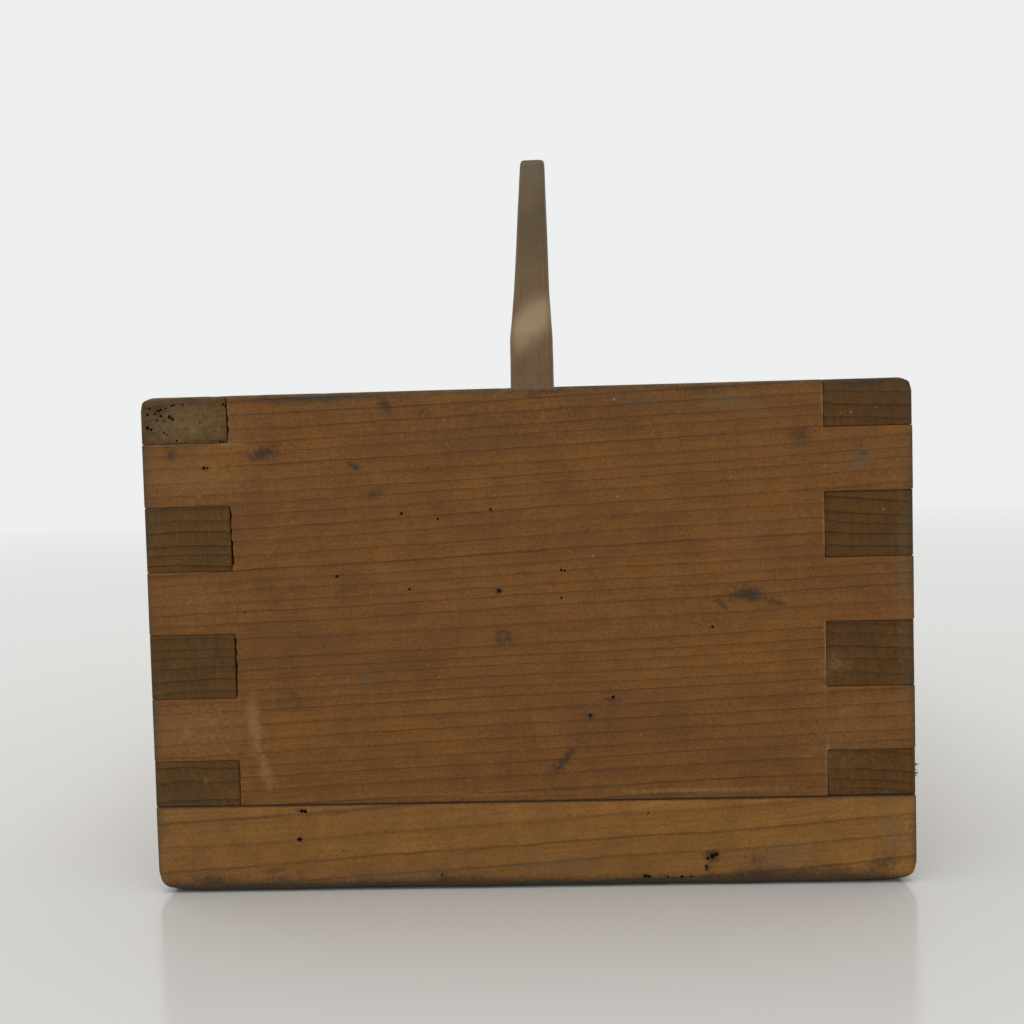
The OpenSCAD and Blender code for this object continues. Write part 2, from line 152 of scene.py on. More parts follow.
def rounded_corner(points, a, b, face_a, face_b, radius):
    """Rounds the box's edge where the faces at face_a and face_b meet: within the radius of both, the square
    corner is drawn in to the quarter circle by the ratio of the larger offset to the length of both."""
    offset_a = radius - np.abs(points[:, a] - face_a)
    offset_b = radius - np.abs(points[:, b] - face_b)
    near = (offset_a > 0) & (offset_b > 0)
    length = np.maximum(np.hypot(offset_a, offset_b), 1e-6)
    drawn = np.where(near, 1 - np.maximum(offset_a, offset_b) / length, 0)
    points[:, a] += np.sign(BOX_MIDDLE[a] - face_a) * offset_a * drawn
    points[:, b] += np.sign(BOX_MIDDLE[b] - face_b) * offset_b * drawn


BOX_LOW, BOX_HIGH = box_mm("sole")[0], box_mm("right_side")[1]
BOX_MIDDLE = (BOX_LOW + BOX_HIGH) / 2
SOLE_TOP = box_mm("sole")[1][Z]
TOP_ROUND, SOLE_ROUND, RIM_ROUND, TOE_ROUND, CORNER_ROUND, SEAM_ROUND = 2.4, 4.0, 0.8, 1.3, 0.8, 0.3


def weather(points, wall=True):
    """Wears a board as part of the box: faces wander by a few hundredths, alike on both sides of a joint, and the
    box's outer edges are rounded by radii that noise makes ragged. A wall's lower edge is rubbed off too, which
    shows as the dark seam above the sole."""
    for axis, amount in ((X, 0.05), (Y, 0.07), (Z, 0.03)):
        points[:, axis] += amount * lattice_noise(points, 26, 3 + axis)
    np.clip(points, BOX_LOW, BOX_HIGH, out=points)
    slow = 1 + 0.12 * lattice_noise(points, 14, 8)
    ragged = 1 + 0.2 * lattice_noise(points, 9, 9) + 0.14 * lattice_noise(points, 2.2, 10)
    chip = np.clip(lattice_noise(points, 3.1, 11) - 0.55, 0, 1) * 1.6
    for side in (BOX_LOW[X], BOX_HIGH[X]):
        rounded_corner(points, X, Z, side, BOX_HIGH[Z], TOP_ROUND * slow)
        rounded_corner(points, X, Z, side, BOX_LOW[Z], SOLE_ROUND * slow)
    for end in (BOX_LOW[Y], BOX_HIGH[Y]):
        rounded_corner(points, Y, Z, end, BOX_HIGH[Z], (RIM_ROUND + chip) * ragged)
        rounded_corner(points, Y, Z, end, BOX_LOW[Z], TOE_ROUND * ragged)
        if wall:
            rounded_corner(points, Y, Z, end, SOLE_TOP, SEAM_ROUND * ragged)
        for side in (BOX_LOW[X], BOX_HIGH[X]):
            rounded_corner(points, X, Y, side, end, CORNER_ROUND * slow)
    return points


# Marks on the leading end: x, z, half length, half width, turn in degrees, strength. All but the last in mm.
SMUDGES = [(-45.0, 76.3, 2.6, 1.0, 25, 0.95), (-42.6, 77.6, 1.3, 0.5, 50, 0.7), (-60.9, 76.6, 1.3, 0.9, 70, 0.75),
           (-55.4, 74.0, 0.8, 0.4, 0, 0.6), (-29.3, 74.0, 1.1, 0.6, -35, 0.95), (-25.8, 68.9, 2.2, 0.9, 15, 0.7),
           (-23.4, 84.0, 1.4, 1.1, -55, 0.9), (-17.5, 82.6, 2.6, 1.0, 0, 0.45), (37.6, 50.3, 2.9, 1.3, 5, 0.95),
           (33.2, 48.6, 2.0, 0.6, -48, 0.8), (42.4, 48.7, 2.6, 0.5, -18, 0.7), (56.8, 75.2, 0.9, 0.5, 70, 0.9),
           (57.4, 73.6, 1.4, 0.9, 40, 0.5), (6.1, 22.6, 3.6, 0.7, 52, 0.85), (4.7, 20.8, 1.2, 0.9, 40, 0.8),
           (10.2, 29.7, 0.8, 0.5, 20, 0.85), (-4.9, 51.7, 0.7, 0.5, -45, 0.95), (0.0, 55.0, 0.8, 0.3, 0, 0.6),
           (14.0, 32.6, 0.9, 0.3, 0, 0.9), (46.6, 77.0, 2.0, 1.5, 0, 0.5), (61.0, 49.4, 1.5, 1.2, 0, 0.3),
           (30.7, 4.9, 1.3, 1.1, 30, 1.0), (29.9, 2.9, 0.4, 1.0, 10, 0.9), (38.4, 4.2, 1.3, 1.0, -40, 0.55),
           (19.2, 1.2, 1.1, 0.6, 20, 0.9), (23.2, 1.1, 0.4, 0.4, 0, 0.9), (25.6, 1.0, 0.6, 0.5, 0, 0.95),
           (27.2, 1.0, 0.5, 0.4, 0, 0.8), (-40.4, 14.0, 1.0, 0.4, 0, 0.85), (-40.8, 9.0, 0.5, 0.5, 0, 0.95),
           (-46.0, 3.4, 1.2, 0.5, 10, 0.6), (-46.8, 1.9, 2.4, 0.7, 0, 0.55), (-31.8, 52.2, 1.8, 0.8, 10, 0.4),
           (30.0, 85.7, 9.0, 0.9, 0, 0.6), (-36.0, 85.7, 14.0, 0.9, 0, 0.7), (4.0, 85.6, 7.0, 0.7, 0, 0.6),
           (58.0, 85.6, 6.0, 0.8, 0, 0.6), (-62.5, 84.2, 2.2, 1.0, 5, 0.6), (-64.9, 82.0, 0.7, 1.6, 0, 0.55),
           (-44.6, 3.6, 1.4, 0.35, 5, 0.6), (-44.4, 2.2, 1.6, 0.35, -8, 0.6), (-40.9, 2.6, 0.5, 1.0, 0, 0.5),
           # The wide weak smudge at x 4, z 81.5 just makes the top middle of the leading end darker.
           (-56.0, 1.4, 5.0, 1.3, 0, 0.75), (4.0, 81.5, 42.0, 7.0, 2, 0.28), (-48.0, 1.0, 6.0, 1.5, 0, 0.6),
           (59.8, 3.0, 3.5, 2.0, 25, 0.5)]
GREY_SPOTS = [(43.0, 4.5, 8.0, 2.6, 5, 0.55), (62.0, 9.0, 2.2, 7.0, 0, 0.6), (5.0, 3.5, 9.0, 2.0, 0, 0.45),
              (-20.0, 2.4, 16.0, 1.6, 0, 0.4), (64.2, 50.0, 1.2, 30.0, 0, 0.5), (20.0, 83.4, 6.0, 1.5, 0, 0.4),
              (57.2, 73.0, 2.3, 1.5, 35, 0.75), (56.0, 71.8, 1.6, 0.9, 0, 0.6), (35.0, 83.2, 7.0, 2.0, -8, 0.6),
              (38.2, 60.0, 3.4, 2.6, 0, 0.35), (-28.4, 37.0, 2.2, 1.5, 0, 0.5), (-59.0, 82.0, 12.0, 6.0, 0, 0.5),
              (-24.0, 50.2, 3.6, 0.9, 5, 0.4), (-11.0, 78.5, 8.0, 2.0, 8, 0.3)]
PALE_SPOTS = [(-56.0, 72.5, 12.0, 5.0, 0, 0.34), (-58.0, 51.0, 10.0, 4.5, 0, 0.26), (-57.0, 28.5, 12.0, 5.5, 0, 0.36),
              (54.0, 26.0, 9.0, 9.0, 0, 0.24), (-57.5, 82.0, 9.0, 4.0, 0, 0.4), (-57.2, 80.5, 1.2, 0.35, 10, 0.9),
              (-61.9, 80.2, 0.6, 0.35, 30, 0.9), (-51.2, 78.2, 3.0, 0.3, 0, 0.8),
              (-48.0, 29.0, 4.4, 1.2, -84, 0.9), (-46.3, 21.5, 3.6, 1.0, -76, 0.7), (-60.0, 28.2, 1.7, 0.5, 80, 0.6),
              (54.0, 29.8, 3.6, 0.5, 8, 0.4), (-12.0, 16.4, 22.0, 0.35, 0, 0.5), (30.0, 16.4, 18.0, 0.35, 0, 0.7),
              (52.0, 38.0, 4.0, 2.5, 0, 0.35), (50.85, 22.0, 0.3, 5.5, 0, 0.7), (50.85, 39.5, 0.3, 6.0, 0, 0.9),
              (50.85, 62.0, 0.3, 5.0, 0, 0.7), (50.85, 82.0, 0.3, 4.0, 0, 0.6), (12.0, 63.4, 1.6, 0.35, 25, 0.45),
              (-59.0, 9.0, 0.5, 0.35, 0, 0.9), (-57.0, 19.6, 0.4, 0.35, 0, 1.0)]
# Pin knots: x, z and radius in mm, and strength
PIN_KNOTS = [(-4.4, 43.8, 1.3, 1.0), (-41.7, 33.2, 2.0, 0.55), (11.4, 38.0, 0.8, 0.4)]


def spot_cover(points, spots, seed):
    """How much the spots cover each point: for each spot a bell over its turned, stretched oval, its edge broken
    by noise. The strongest spot counts."""
    cover = np.zeros(len(points))
    broken = 1 + 0.7 * lattice_noise(points, 1.1, seed) + 0.4 * lattice_noise(points, 0.5, seed + 1)
    broken = np.maximum(broken, 0.2)
    for x, z, length, width, turn, strength in spots:
        c, s = math.cos(math.radians(turn)), math.sin(math.radians(turn))
        dx, dz = points[:, X] - x, points[:, Z] - z
        reach = ((dx * c + dz * s) / length) ** 2 + ((dz * c - dx * s) / width) ** 2
        cover = np.maximum(cover, strength * np.exp(-reach * broken))
    return cover


def wear_marks(points, seed=12):
    """Soil, greying and bare wood at each point, from 0 to 1. Soil gathers on the box's outer edges, which lie
    where the second nearest face is near, and on the toe of the sole, where the dark band is grime and painted
    contact shadow together. The leading end has its own marks too."""
    to_faces = np.sort(np.minimum(points - BOX_LOW, BOX_HIGH - points), axis=1)
    to_edge = np.maximum(to_faces[:, 1], 0)
    patchy = 0.5 + 0.5 * lattice_noise(points, 7, seed) + 0.3 * lattice_noise(points, 1.7, seed + 1)
    soil = np.exp(-to_edge) * np.clip(0.35 + 0.55 * patchy, 0, 1)
    # The dark band on the toe rises to a noisy height; it is ground grime and painted contact shadow together.
    grime_and_shadow_reach = lattice_noise(points, 13, seed + 9) + 0.3 * lattice_noise(points, 3, seed + 10)
    grime_and_shadow_reach = 1.3 + 1.6 * np.clip(grime_and_shadow_reach, 0, 1)
    soil = np.maximum(soil, np.exp(-((points[:, Z] / grime_and_shadow_reach / 1.1) ** 2)) * np.clip(0.85 + 0.5 * patchy, 0, 1.2))
    soil = np.maximum(soil, 0.95 * np.exp(-((points[:, Z] - SOLE_TOP) / 0.24) ** 2))
    rim = np.clip((points[:, Z] - BOX_HIGH[Z] + 1.5) / 1.2, 0, 1)
    soil = np.maximum(soil, rim * np.clip(0.3 + 0.5 * patchy, 0, 1))
    grey = np.exp(-to_edge / 2.6) * np.clip(patchy, 0, 1) * 0.75
    front = np.clip(BOX_LOW[Y] + 3 - points[:, Y], 0, 1)
    soil = np.maximum(soil, front * spot_cover(points, SMUDGES, seed + 2))
    grey = np.maximum(grey, front * spot_cover(points, GREY_SPOTS, seed + 4))
    bare = front * spot_cover(points, PALE_SPOTS, seed + 6)
    for x, z, radius, strength in PIN_KNOTS:
        away = np.hypot(points[:, X] - x, (points[:, Z] - z) * 1.15) / radius
        ring = 0.6 * np.exp(-(((away - 1) / 0.25) ** 2)) + 0.36 * np.exp(-((away / 0.95) ** 4))
        soil = np.maximum(soil, front * strength * ring)
    return {"soil": soil, "grey": grey, "bare": bare}


def placed(name, data):
    """A new object with that data, in the scene."""
    thing = bpy.data.objects.new(name, data)
    bpy.context.scene.collection.objects.link(thing)
    return thing


def solid(name, points, faces):
    """A new mesh object, from points in mm."""
    mesh = bpy.data.meshes.new(name)
    mesh.from_pydata((points / MM).tolist(), [], faces)
    return placed(name, mesh)


def drilled(piece, holes):
    """Bores round holes through a closed piece. Each hole is a start, an end and a radius in mm, and a cutter is
    a set of their cylinders, with a circle of points about each end. Holes that meet go to different cutters,
    since a cutter's own cylinders must not overlap."""
    around = 40
    angle = np.linspace(0, 2 * np.pi, around, endpoint=False)
    cutters = []
    for start, end, radius in holes:
        start, end = np.array(start, float), np.array(end, float)
        low, high = np.minimum(start, end) - radius, np.maximum(start, end) + radius
        apart = (c for c in cutters if all(np.any((low > b) | (high < a)) for a, b, *_ in c))
        cutter = next(apart, None)
        if cutter is None:
            cutter = []
            cutters.append(cutter)
        cutter.append((low, high, start, end, radius))
    for cutter_holes in cutters:
        points, faces = [], []
        for _, _, start, end, radius in cutter_holes:
            axis = int(np.argmax(np.abs(end - start)))
            b, c = (axis + 1) % 3, (axis + 2) % 3
            circle = np.zeros((around, 3))
            circle[:, b], circle[:, c] = radius * np.cos(angle), radius * np.sin(angle)
            first = around * len(points)
            points += [start + circle, end + circle]
            low, high = first + np.arange(around), first + around + np.arange(around)
            sides = np.stack([low, np.roll(low, -1), np.roll(high, -1), high], axis=1).tolist()
            turn = 1 if (end - start)[axis] > 0 else -1
            faces += [face[::turn] for face in [*sides, low[::-1].tolist(), high.tolist()]]
        cutter = solid("drill", np.concatenate(points), faces)
        cut = piece.modifiers.new("bores", "BOOLEAN")
        cut.operation, cut.solver, cut.object = "DIFFERENCE", "MANIFOLD", cutter
        graph = bpy.context.evaluated_depsgraph_get()
        result = bpy.data.meshes.new_from_object(piece.evaluated_get(graph))
        result.materials.clear()
        piece.modifiers.clear()
        piece.data = result
        bpy.data.objects.remove(cutter)


def ring_quads(ids):
    """Quads that join each ring of point numbers to the next and close all round. The last two axes of ids are
    the rings and the points of a ring."""
    after = np.roll(ids, -1, axis=-1)
    corners = ids[..., :-1, :], after[..., :-1, :], after[..., 1:, :], ids[..., 1:, :]
    return np.stack(corners, axis=-1).reshape(-1, 4)


def closed_skin(rings, around):
    """Faces of a skin of rings whose points are followed by two more, the poles on which its ends close."""
    ids = np.arange(rings * around).reshape(rings, around)
    faces = ring_quads(ids).tolist()
    faces += [[rings * around, j, i] for i, j in zip(ids[0], np.roll(ids[0], -1))]
    faces += [[rings * around + 1, i, j] for i, j in zip(ids[-1], np.roll(ids[-1], -1))]
    return faces


SHARP_ABOVE = math.radians(38)


def new_piece(name, points, faces, body, replaces, holes=(), marks=None):
    """Makes one closed piece from points in mm, bores its holes, stores its wear marks on its vertices, and lets
    it ride on its body in place of CAD nodes."""
    piece = solid(name, points, [list(face) for face in faces])
    if holes:
        drilled(piece, holes)
    mesh = piece.data
    mesh.shade_smooth()
    mesh.set_sharp_from_angle(angle=SHARP_ABOVE)
    if marks:
        for mark, values in marks(mesh_points(mesh)).items():
            mesh.attributes.new(mark, "FLOAT", "POINT").data.foreach_set("value", values.astype(np.float32))
    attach(piece, body)
    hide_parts(*replaces)
    return piece


def linear(code):
    """An sRGB hex colour as linear red, green, blue and alpha."""
    parts = [int(code[i:i + 2], 16) / 255 for i in (1, 3, 5)]
    return [p / 12.92 if p <= 0.04045 else ((p + 0.055) / 1.055) ** 2.4 for p in parts] + [1.0]


def set_inputs(tree, node, sockets):
    """Gives a node's inputs, by name or number, their values, or links them to the outputs that feed them."""
    for key, value in dict(sockets).items():
        if isinstance(value, bpy.types.NodeSocket):
            tree.links.new(value, node.inputs[key])
        else:
            node.inputs[key].default_value = value.tolist() if isinstance(value, np.ndarray) else value


def add_node(tree, kind, sockets=(), out=0, **settings):
    """Adds one shader node and gives its output of that name or number, or all of them for None. Settings are the
    node's own properties, and sockets are its inputs."""
    node = tree.nodes.new("ShaderNode" + kind)
    for name, value in settings.items():
        setattr(node, name, value)
    set_inputs(tree, node, sockets)
    return node.outputs if out is None else node.outputs[out]


def new_material(name):
    """A new material, with add_node bound to its tree and set_inputs bound to its shader."""
    material = bpy.data.materials.new(name)
    material.use_nodes = True
    tree = material.node_tree
    shader = tree.nodes["Principled BSDF"]
    return material, functools.partial(add_node, tree), functools.partial(set_inputs, tree, shader)


# Noise rarely leaves this span, and MapRange nodes stretch it
NOISE_SPAN = {"From Min": 0.3, "From Max": 0.7}
WOOD_SPECULAR = 0.35


def softwood(name, early, late, grain, pith, ring, tilt=0.0, wander=1.6, end_tint="#c2b79c", relief=0.05,
             contrast=0.75, roughness=0.66, fade=0.3, bare_tint="#a07c4c", edge_break=0.8):
    """Japanese cedar or cypress, planed long ago and never finished: annual rings about a pith line, each a pale
    band of early wood that ends in a thin hard line of late wood. Rings are cylinders about the pith, so the
    same pattern gives lines on the faces and arcs on the end grain. grain is the axis along the fibres, pith is
    a point on the pith line in mm, ring is the ring width in mm, and tilt turns the lines in degrees. edge_break
    is how far fine noise breaks the edges of marks."""
    material, add, feed = new_material(name)
    across = np.ones(3)
    across[grain] = 0
    along = 1 - across
    place = add("TexCoord", out=None)
    turn = [0.0, 0.0, 0.0]
    turn[Y if grain == X else X] = math.radians(tilt)
    wood = add("Mapping", {"Vector": place["Object"], "Location": -np.array(pith, float), "Rotation": turn,
                           "Scale": (MM,) * 3})
    # Slow drift of the rings, a hand's width long and a thumb's width across
    slow = add("VectorMath", {0: wood, 1: across / 30 + along / 150}, operation="MULTIPLY")
    drift = add("TexNoise", {"Vector": slow, "Scale": 1.0, "Detail": 2.0}, out="Color")
    bent = add("VectorMath", {0: drift, 1: across * wander * 3, 2: wood}, operation="MULTIPLY_ADD")
    # and a small shiver of each line, a few mm long
    quick = add("VectorMath", {0: wood, 1: across / 1.6 + along / 5}, operation="MULTIPLY")
    shiver = add("TexNoise", {"Vector": quick, "Scale": 1.0, "Detail": 2.0}, out="Color")
    bent = add("VectorMath", {0: shiver, 1: across * 0.55, 2: bent}, operation="MULTIPLY_ADD")
    flat = add("VectorMath", {0: bent, 1: across}, operation="MULTIPLY")
    radius = add("VectorMath", {0: flat}, operation="LENGTH", out="Value")
    # Good and bad years: the ring width varies over about four rings
    years = add("TexNoise", {"W": radius, "Scale": 0.25 / ring, "Detail": 1.0}, noise_dimensions="1D")
    count = add("Math", {0: years, 1: 1.3}, operation="MULTIPLY")
    count = add("Math", {0: radius, 1: 1 / ring, 2: count}, operation="MULTIPLY_ADD")
    share = add("Math", {0: count}, operation="FRACT")
    year = add("Math", {0: count}, operation="FLOOR")
    chance = add("TexWhiteNoise", {"W": year}, noise_dimensions="1D", out="Value")
    rise = add("MapRange", {"Value": share, "From Min": 0.8, "From Max": 0.94}, interpolation_type="SMOOTHSTEP")
    fall = add("MapRange", {"Value": share, "From Min": 0.94, "From Max": 1.0, "To Min": 1.0, "To Max": 0.0})
    band = add("Math", {0: rise, 1: fall}, operation="MULTIPLY")
    dusk = add("MapRange", {"Value": share, "From Min": 0.1, "From Max": 0.9, "To Max": 0.2 * contrast},
               interpolation_type="SMOOTHSTEP")
    # Fibres, drawn 0.4 mm wide and 16 mm long, which is as coarse as they need to be to show
    fine = add("VectorMath", {0: bent, 1: across / 0.4 + along / 16}, operation="MULTIPLY")
    fibre = add("TexNoise", {"Vector": fine, "Scale": 1.0, "Detail": 3.0})
    cloud = add("TexNoise", {"Vector": slow, "Scale": 1.9, "Detail": 4.0})
    # The lines break up along their length and differ from year to year
    strength = add("MapRange", {"Value": chance, "To Min": 0.4 * contrast, "To Max": contrast})
    broken = add("MapRange", {"Value": fibre, "From Min": 0.36, "From Max": 0.58, "To Min": 0.35})
    line = add("Math", {0: band, 1: strength}, operation="MULTIPLY")
    line = add("Math", {0: line, 1: broken, 2: dusk}, operation="MULTIPLY_ADD", use_clamp=True)
    colour = add("Mix", {0: line, 6: linear(early), 7: linear(late)}, data_type="RGBA", out=2)
    # Fibres, open pores and rubbed-in dust, handling, and slow clouds each make the wood lighter and darker
    dust = add("TexNoise", {"Vector": wood, "Scale": 2.9, "Detail": 2.0, "Roughness": 0.7})
    handled = add("TexNoise", {"Vector": wood, "Scale": 0.16, "Detail": 4.0, "Roughness": 0.6})
    shade = None
    for source, half, dark, light in ((fibre, 0.25, 0.86, 1.12), (dust, 0.2, 0.76, 1.24), (handled, 0.2, 0.84, 1.15),
                                      (cloud, 0.2, 1 - fade * 0.6, 1 + fade * 0.4)):
        factor = add("MapRange", {"Value": source, "From Min": 0.5 - half, "From Max": 0.5 + half, "To Min": dark,
                                  "To Max": light})
        shade = add("Math", {0: shade, 1: factor}, operation="MULTIPLY") if shade else factor
    colour = add("Mix", {0: 1.0, 6: colour, 7: shade}, data_type="RGBA", blend_type="MULTIPLY", out=2)
    # End grain drinks soil and oil, so it is darker, greyer and duller, and keeps the saw's fine upright marks
    facing = add("VectorMath", {0: place["Normal"], 1: along}, operation="DOT_PRODUCT", out="Value")
    facing = add("Math", {0: facing}, operation="ABSOLUTE")
    end = add("MapRange", {"Value": facing, "From Min": 0.55, "From Max": 0.85}, interpolation_type="SMOOTHSTEP")
    kerf = add("VectorMath", {0: wood, 1: (1.5, 1.5, 0.3)}, operation="MULTIPLY")
    kerf = add("TexNoise", {"Vector": kerf, "Scale": 1.0, "Detail": 2.0})
    kerf = add("MapRange", {"Value": kerf, **NOISE_SPAN, "To Min": 0.86, "To Max": 1.1})
    sawn = add("Mix", {0: 1.0, 6: linear(end_tint), 7: kerf}, data_type="RGBA", blend_type="MULTIPLY", out=2)
    sawn = add("Mix", {0: 1.0, 6: colour, 7: sawn}, data_type="RGBA", blend_type="MULTIPLY", out=2)
    colour = add("Mix", {0: end, 6: colour, 7: sawn}, data_type="RGBA", out=2)
    # Bare, greyed and soiled places come from the marks stored on the vertices, with edges broken by fine noise.
    # The soil mark also holds the painted contact shadow along the toe of the sole.
    speckle = add("TexNoise", {"Vector": wood, "Scale": 1.3, "Detail": 3.0})
    speckle = add("Math", {0: speckle, 1: 0.5}, operation="SUBTRACT")
    masks = {}
    for mark, tint, full in (("bare", bare_tint, 0.7), ("grey", "#6e6248", 0.55), ("soil", "#2b271d", 0.8)):
        value = add("Attribute", attribute_name=mark, out="Fac")
        rough_edge = add("Math", {0: speckle, 1: edge_break, 2: value}, operation="MULTIPLY_ADD")
        mask = add("MapRange", {"Value": rough_edge, "From Min": 0.02, "From Max": 0.85, "To Max": full},
                   interpolation_type="SMOOTHSTEP")
        gate = add("MapRange", {"Value": value, "From Min": 0.02, "From Max": 0.2})
        masks[mark] = add("Math", {0: mask, 1: gate}, operation="MULTIPLY")
        colour = add("Mix", {0: masks[mark], 6: colour, 7: linear(tint)}, data_type="RGBA", out=2)
    # Specks of pale dust in two sizes, and dark pin holes; size is in cells, and the cells are 2 to 5 mm across
    for seed, tint, scale, size, shown in ((0.0, "#b08b5a", 0.5, 0.09, 0.5), (11.0, "#c4a477", 0.2, 0.04, 0.6),
                                           (37.0, "#20170f", 0.2, 0.045, 0.85), (53.0, "#3a2412", 0.4, 0.06, 0.6)):
        moved = add("VectorMath", {0: wood, 1: (seed,) * 3}, operation="ADD")
        cells = add("TexVoronoi", {"Vector": moved, "Scale": scale}, out=None)
        lot = add("SeparateColor", {0: cells["Color"]})
        wide = add("Math", {0: lot, 1: size * 1.6}, operation="MULTIPLY")
        dot = add("MapRange", {"Value": cells["Distance"], "From Min": 0.0, "From Max": wide, "To Min": shown,
                               "To Max": 0.0})
        colour = add("Mix", {0: dot, 6: colour, 7: linear(tint)}, data_type="RGBA", out=2)
    dull = add("MapRange", {"Value": cloud, **NOISE_SPAN, "To Min": roughness - 0.08, "To Max": roughness + 0.08})
    dull = add("Math", {0: end, 1: 0.14, 2: dull}, operation="MULTIPLY_ADD")
    # Late wood stands proud where the soft early wood has worn away; heights are in mm
    height = add("Math", {0: band, 1: relief}, operation="MULTIPLY")
    for source, part in ((fibre, 1.1), (speckle, 0.9), (masks["soil"], -1)):
        height = add("Math", {0: source, 1: relief * part, 2: height}, operation="MULTIPLY_ADD")
    bump = add("Bump", {"Height": height, "Distance": 1 / MM, "Strength": 1.0})
    feed({"Base Color": colour, "Roughness": dull, "Specular IOR Level": WOOD_SPECULAR, "Normal": bump})
    return material


NAIL_REACH = 8


def nail_axes(node, axis):
    """Where each nail of a CAD node stands, seen along its axis: points within reach of each other are one nail,
    and the middle of their spread is its axis."""
    left = np.delete(points_mm(node), axis, axis=1)
    found = []
    while len(left):
        near = np.linalg.norm(left - left[0], axis=1) < NAIL_REACH
        found.append((left[near].min(axis=0) + left[near].max(axis=0)) / 2)
        left = left[~near]
    return found


HEAD_SINK, HEAD_DEEP, SET_GAP = 0.5, 1.0, 0.02
SOLE_NAIL, SMALL_NAIL = 1.3, 0.8


def nail_bores(node, axis, radius, shank, head=None, within=None):
    """Bores for the nails of a CAD node: each shank's, and its sunk head's of twice the radius, run along the
    axis between two levels. within keeps the nails between two corners, seen along the axis."""
    bores = []
    for place in nail_axes(node, axis):
        if within is None or np.all((place > within[0]) & (place < within[1])):
            bores += [(*(np.insert(place, axis, level) for level in span), wide + SET_GAP)
                      for span, wide in ((head, 2 * radius), (shank, radius)) if span]
    return bores


SLIDE_GAP, OUTLET_HALF_LENGTH = 0.3, 12
sole_cad = points_mm("sole")
slide_low, slide_high = box_mm("seed_slide")
channel = sole_cad[(np.abs(sole_cad[:, Z] - slide_low[Z] + SLIDE_GAP) < 0.01)
                   & (np.abs(sole_cad[:, X]) > slide_high[X])]
channel_low, channel_high = channel.min(axis=0), channel.max(axis=0) + (0, 0, SOLE_TOP)
outlet = sole_cad[(np.abs(sole_cad[:, X]) < OUTLET_HALF_LENGTH)
                  & (np.abs(sole_cad[:, Y]) < 3 * OUTLET_HALF_LENGTH)]
# Worm holes in the sole's leading face: x, z and radius in mm
SOLE_HOLES = [(-40.8, 9.0, 0.36), (-40.2, 14.0, 0.3), (-39.6, 13.9, 0.34), (30.9, 4.9, 0.46), (31.6, 5.2, 0.34),
              (30.1, 4.5, 0.28), (29.9, 3.1, 0.24), (29.8, 2.6, 0.2), (19.3, 1.6, 0.34), (19.9, 1.5, 0.28),
              (23.2, 1.4, 0.2), (25.6, 1.4, 0.26), (27.2, 1.4, 0.22), (20.0, 12.6, 0.18), (-16.0, 2.4, 0.2)]
SOLE_HOLE_DEEP = 1.2
outlet_y, outlet_radius = (outlet[:, Y].min() + outlet[:, Y].max()) / 2, outlet[:, X].max()
sole_nail_tip = box_mm("sole_nails")[1][Z]
sole_bores = [((0, outlet_y, -1), (0, outlet_y, channel_low[Z] + 1), outlet_radius)]
sole_bores += [((x, BOX_LOW[Y] - 1, z), (x, BOX_LOW[Y] + SOLE_HOLE_DEEP, z), radius) for x, z, radius in SOLE_HOLES]
sole_bores += nail_bores("sole_nails", Z, SOLE_NAIL, (1, SOLE_TOP + 1), (-1, HEAD_SINK + HEAD_DEEP))
sole_bores += nail_bores("floor_nails", Z, SMALL_NAIL, (box_mm("floor_nails")[0][Z], SOLE_TOP + 1))
sole_points, sole_faces = sawn_board([(BOX_LOW, (*BOX_HIGH[:2], SOLE_TOP))], [(channel_low, channel_high)],
                                     (0.8, 5.0, 0.6))
sole = new_piece("sole_board", weather(sole_points, wall=False), sole_faces, "box", ["sole"], sole_bores,
                 wear_marks)
sole.data.materials.append(softwood("cedar_sole_worn", early="#9b6a2e", late="#5c3514", grain=X,
                                    pith=(0, -88, -34), ring=3.3, tilt=4.0, wander=2.4, contrast=0.66))

# ------------------------------------------------------------------------------
# The end boards: one board closes each end, sawn with three tails a side that run through to the side faces. The
# leading one, at the front, is the face that is seen most: it has pin knots, cracks where the side boards'
# fingers press on its shoulders, and dark stains along its rim.
# ------------------------------------------------------------------------------
# Pin holes in the leading board: x, z and radius in mm
PIN_HOLES = [(-32.7, 54.9, 0.32), (-5.9, 65.8, 0.25), (-15.0, 64.4, 0.22), (6.0, 55.1, 0.25), (6.6, 55.0, 0.2),
             (-21.2, 65.5, 0.3), (31.6, 44.8, 0.25), (14.4, 33.0, 0.3), (-20.2, 52.4, 0.25), (-4.7, 51.8, 0.4),
             (5.9, 50.3, 0.22), (-55.1, 74.2, 0.3), (-54.5, 74.1, 0.22), (10.4, 29.9, 0.3)]
PIN_HOLE_DEEP = 0.7
CRACKS = [(78.5, 86.5, 0.5), (56.3, 67.4, 0.46), (34.1, 45.2, 0.55), (15.0, 23.0, 0.12)]


def cracked(points, seed):
    """Opens ragged cracks along the left shoulders, at the ends of the side board's fingers: there the shoulder
    draws back from the finger by a noisy width that dies away with depth."""
    shoulder = front_cad[np.abs(front_cad[:, X]) < 60][:, X].min()
    gap = np.zeros(len(points))
    for low, high, width in CRACKS:
        inside = np.clip(np.minimum(points[:, Z] - low, high - points[:, Z]) / 1.2, 0, 1)
        gap = np.maximum(gap, width * inside)
    ragged = np.clip(0.42 + 0.3 * lattice_noise(points, (50, 50, 1.7), seed)
                     + 0.7 * lattice_noise(points, (50, 50, 0.55), seed + 1), 0.1, 1)
    deep = np.clip(1 - (points[:, Y] - BOX_LOW[Y]) / 1.6, 0, 1)
    near = np.exp(-np.maximum(points[:, X] - shoulder, 0) / 0.5) * (points[:, X] > shoulder - 0.5)
    points[:, X] += gap * ragged * deep * near
    return points


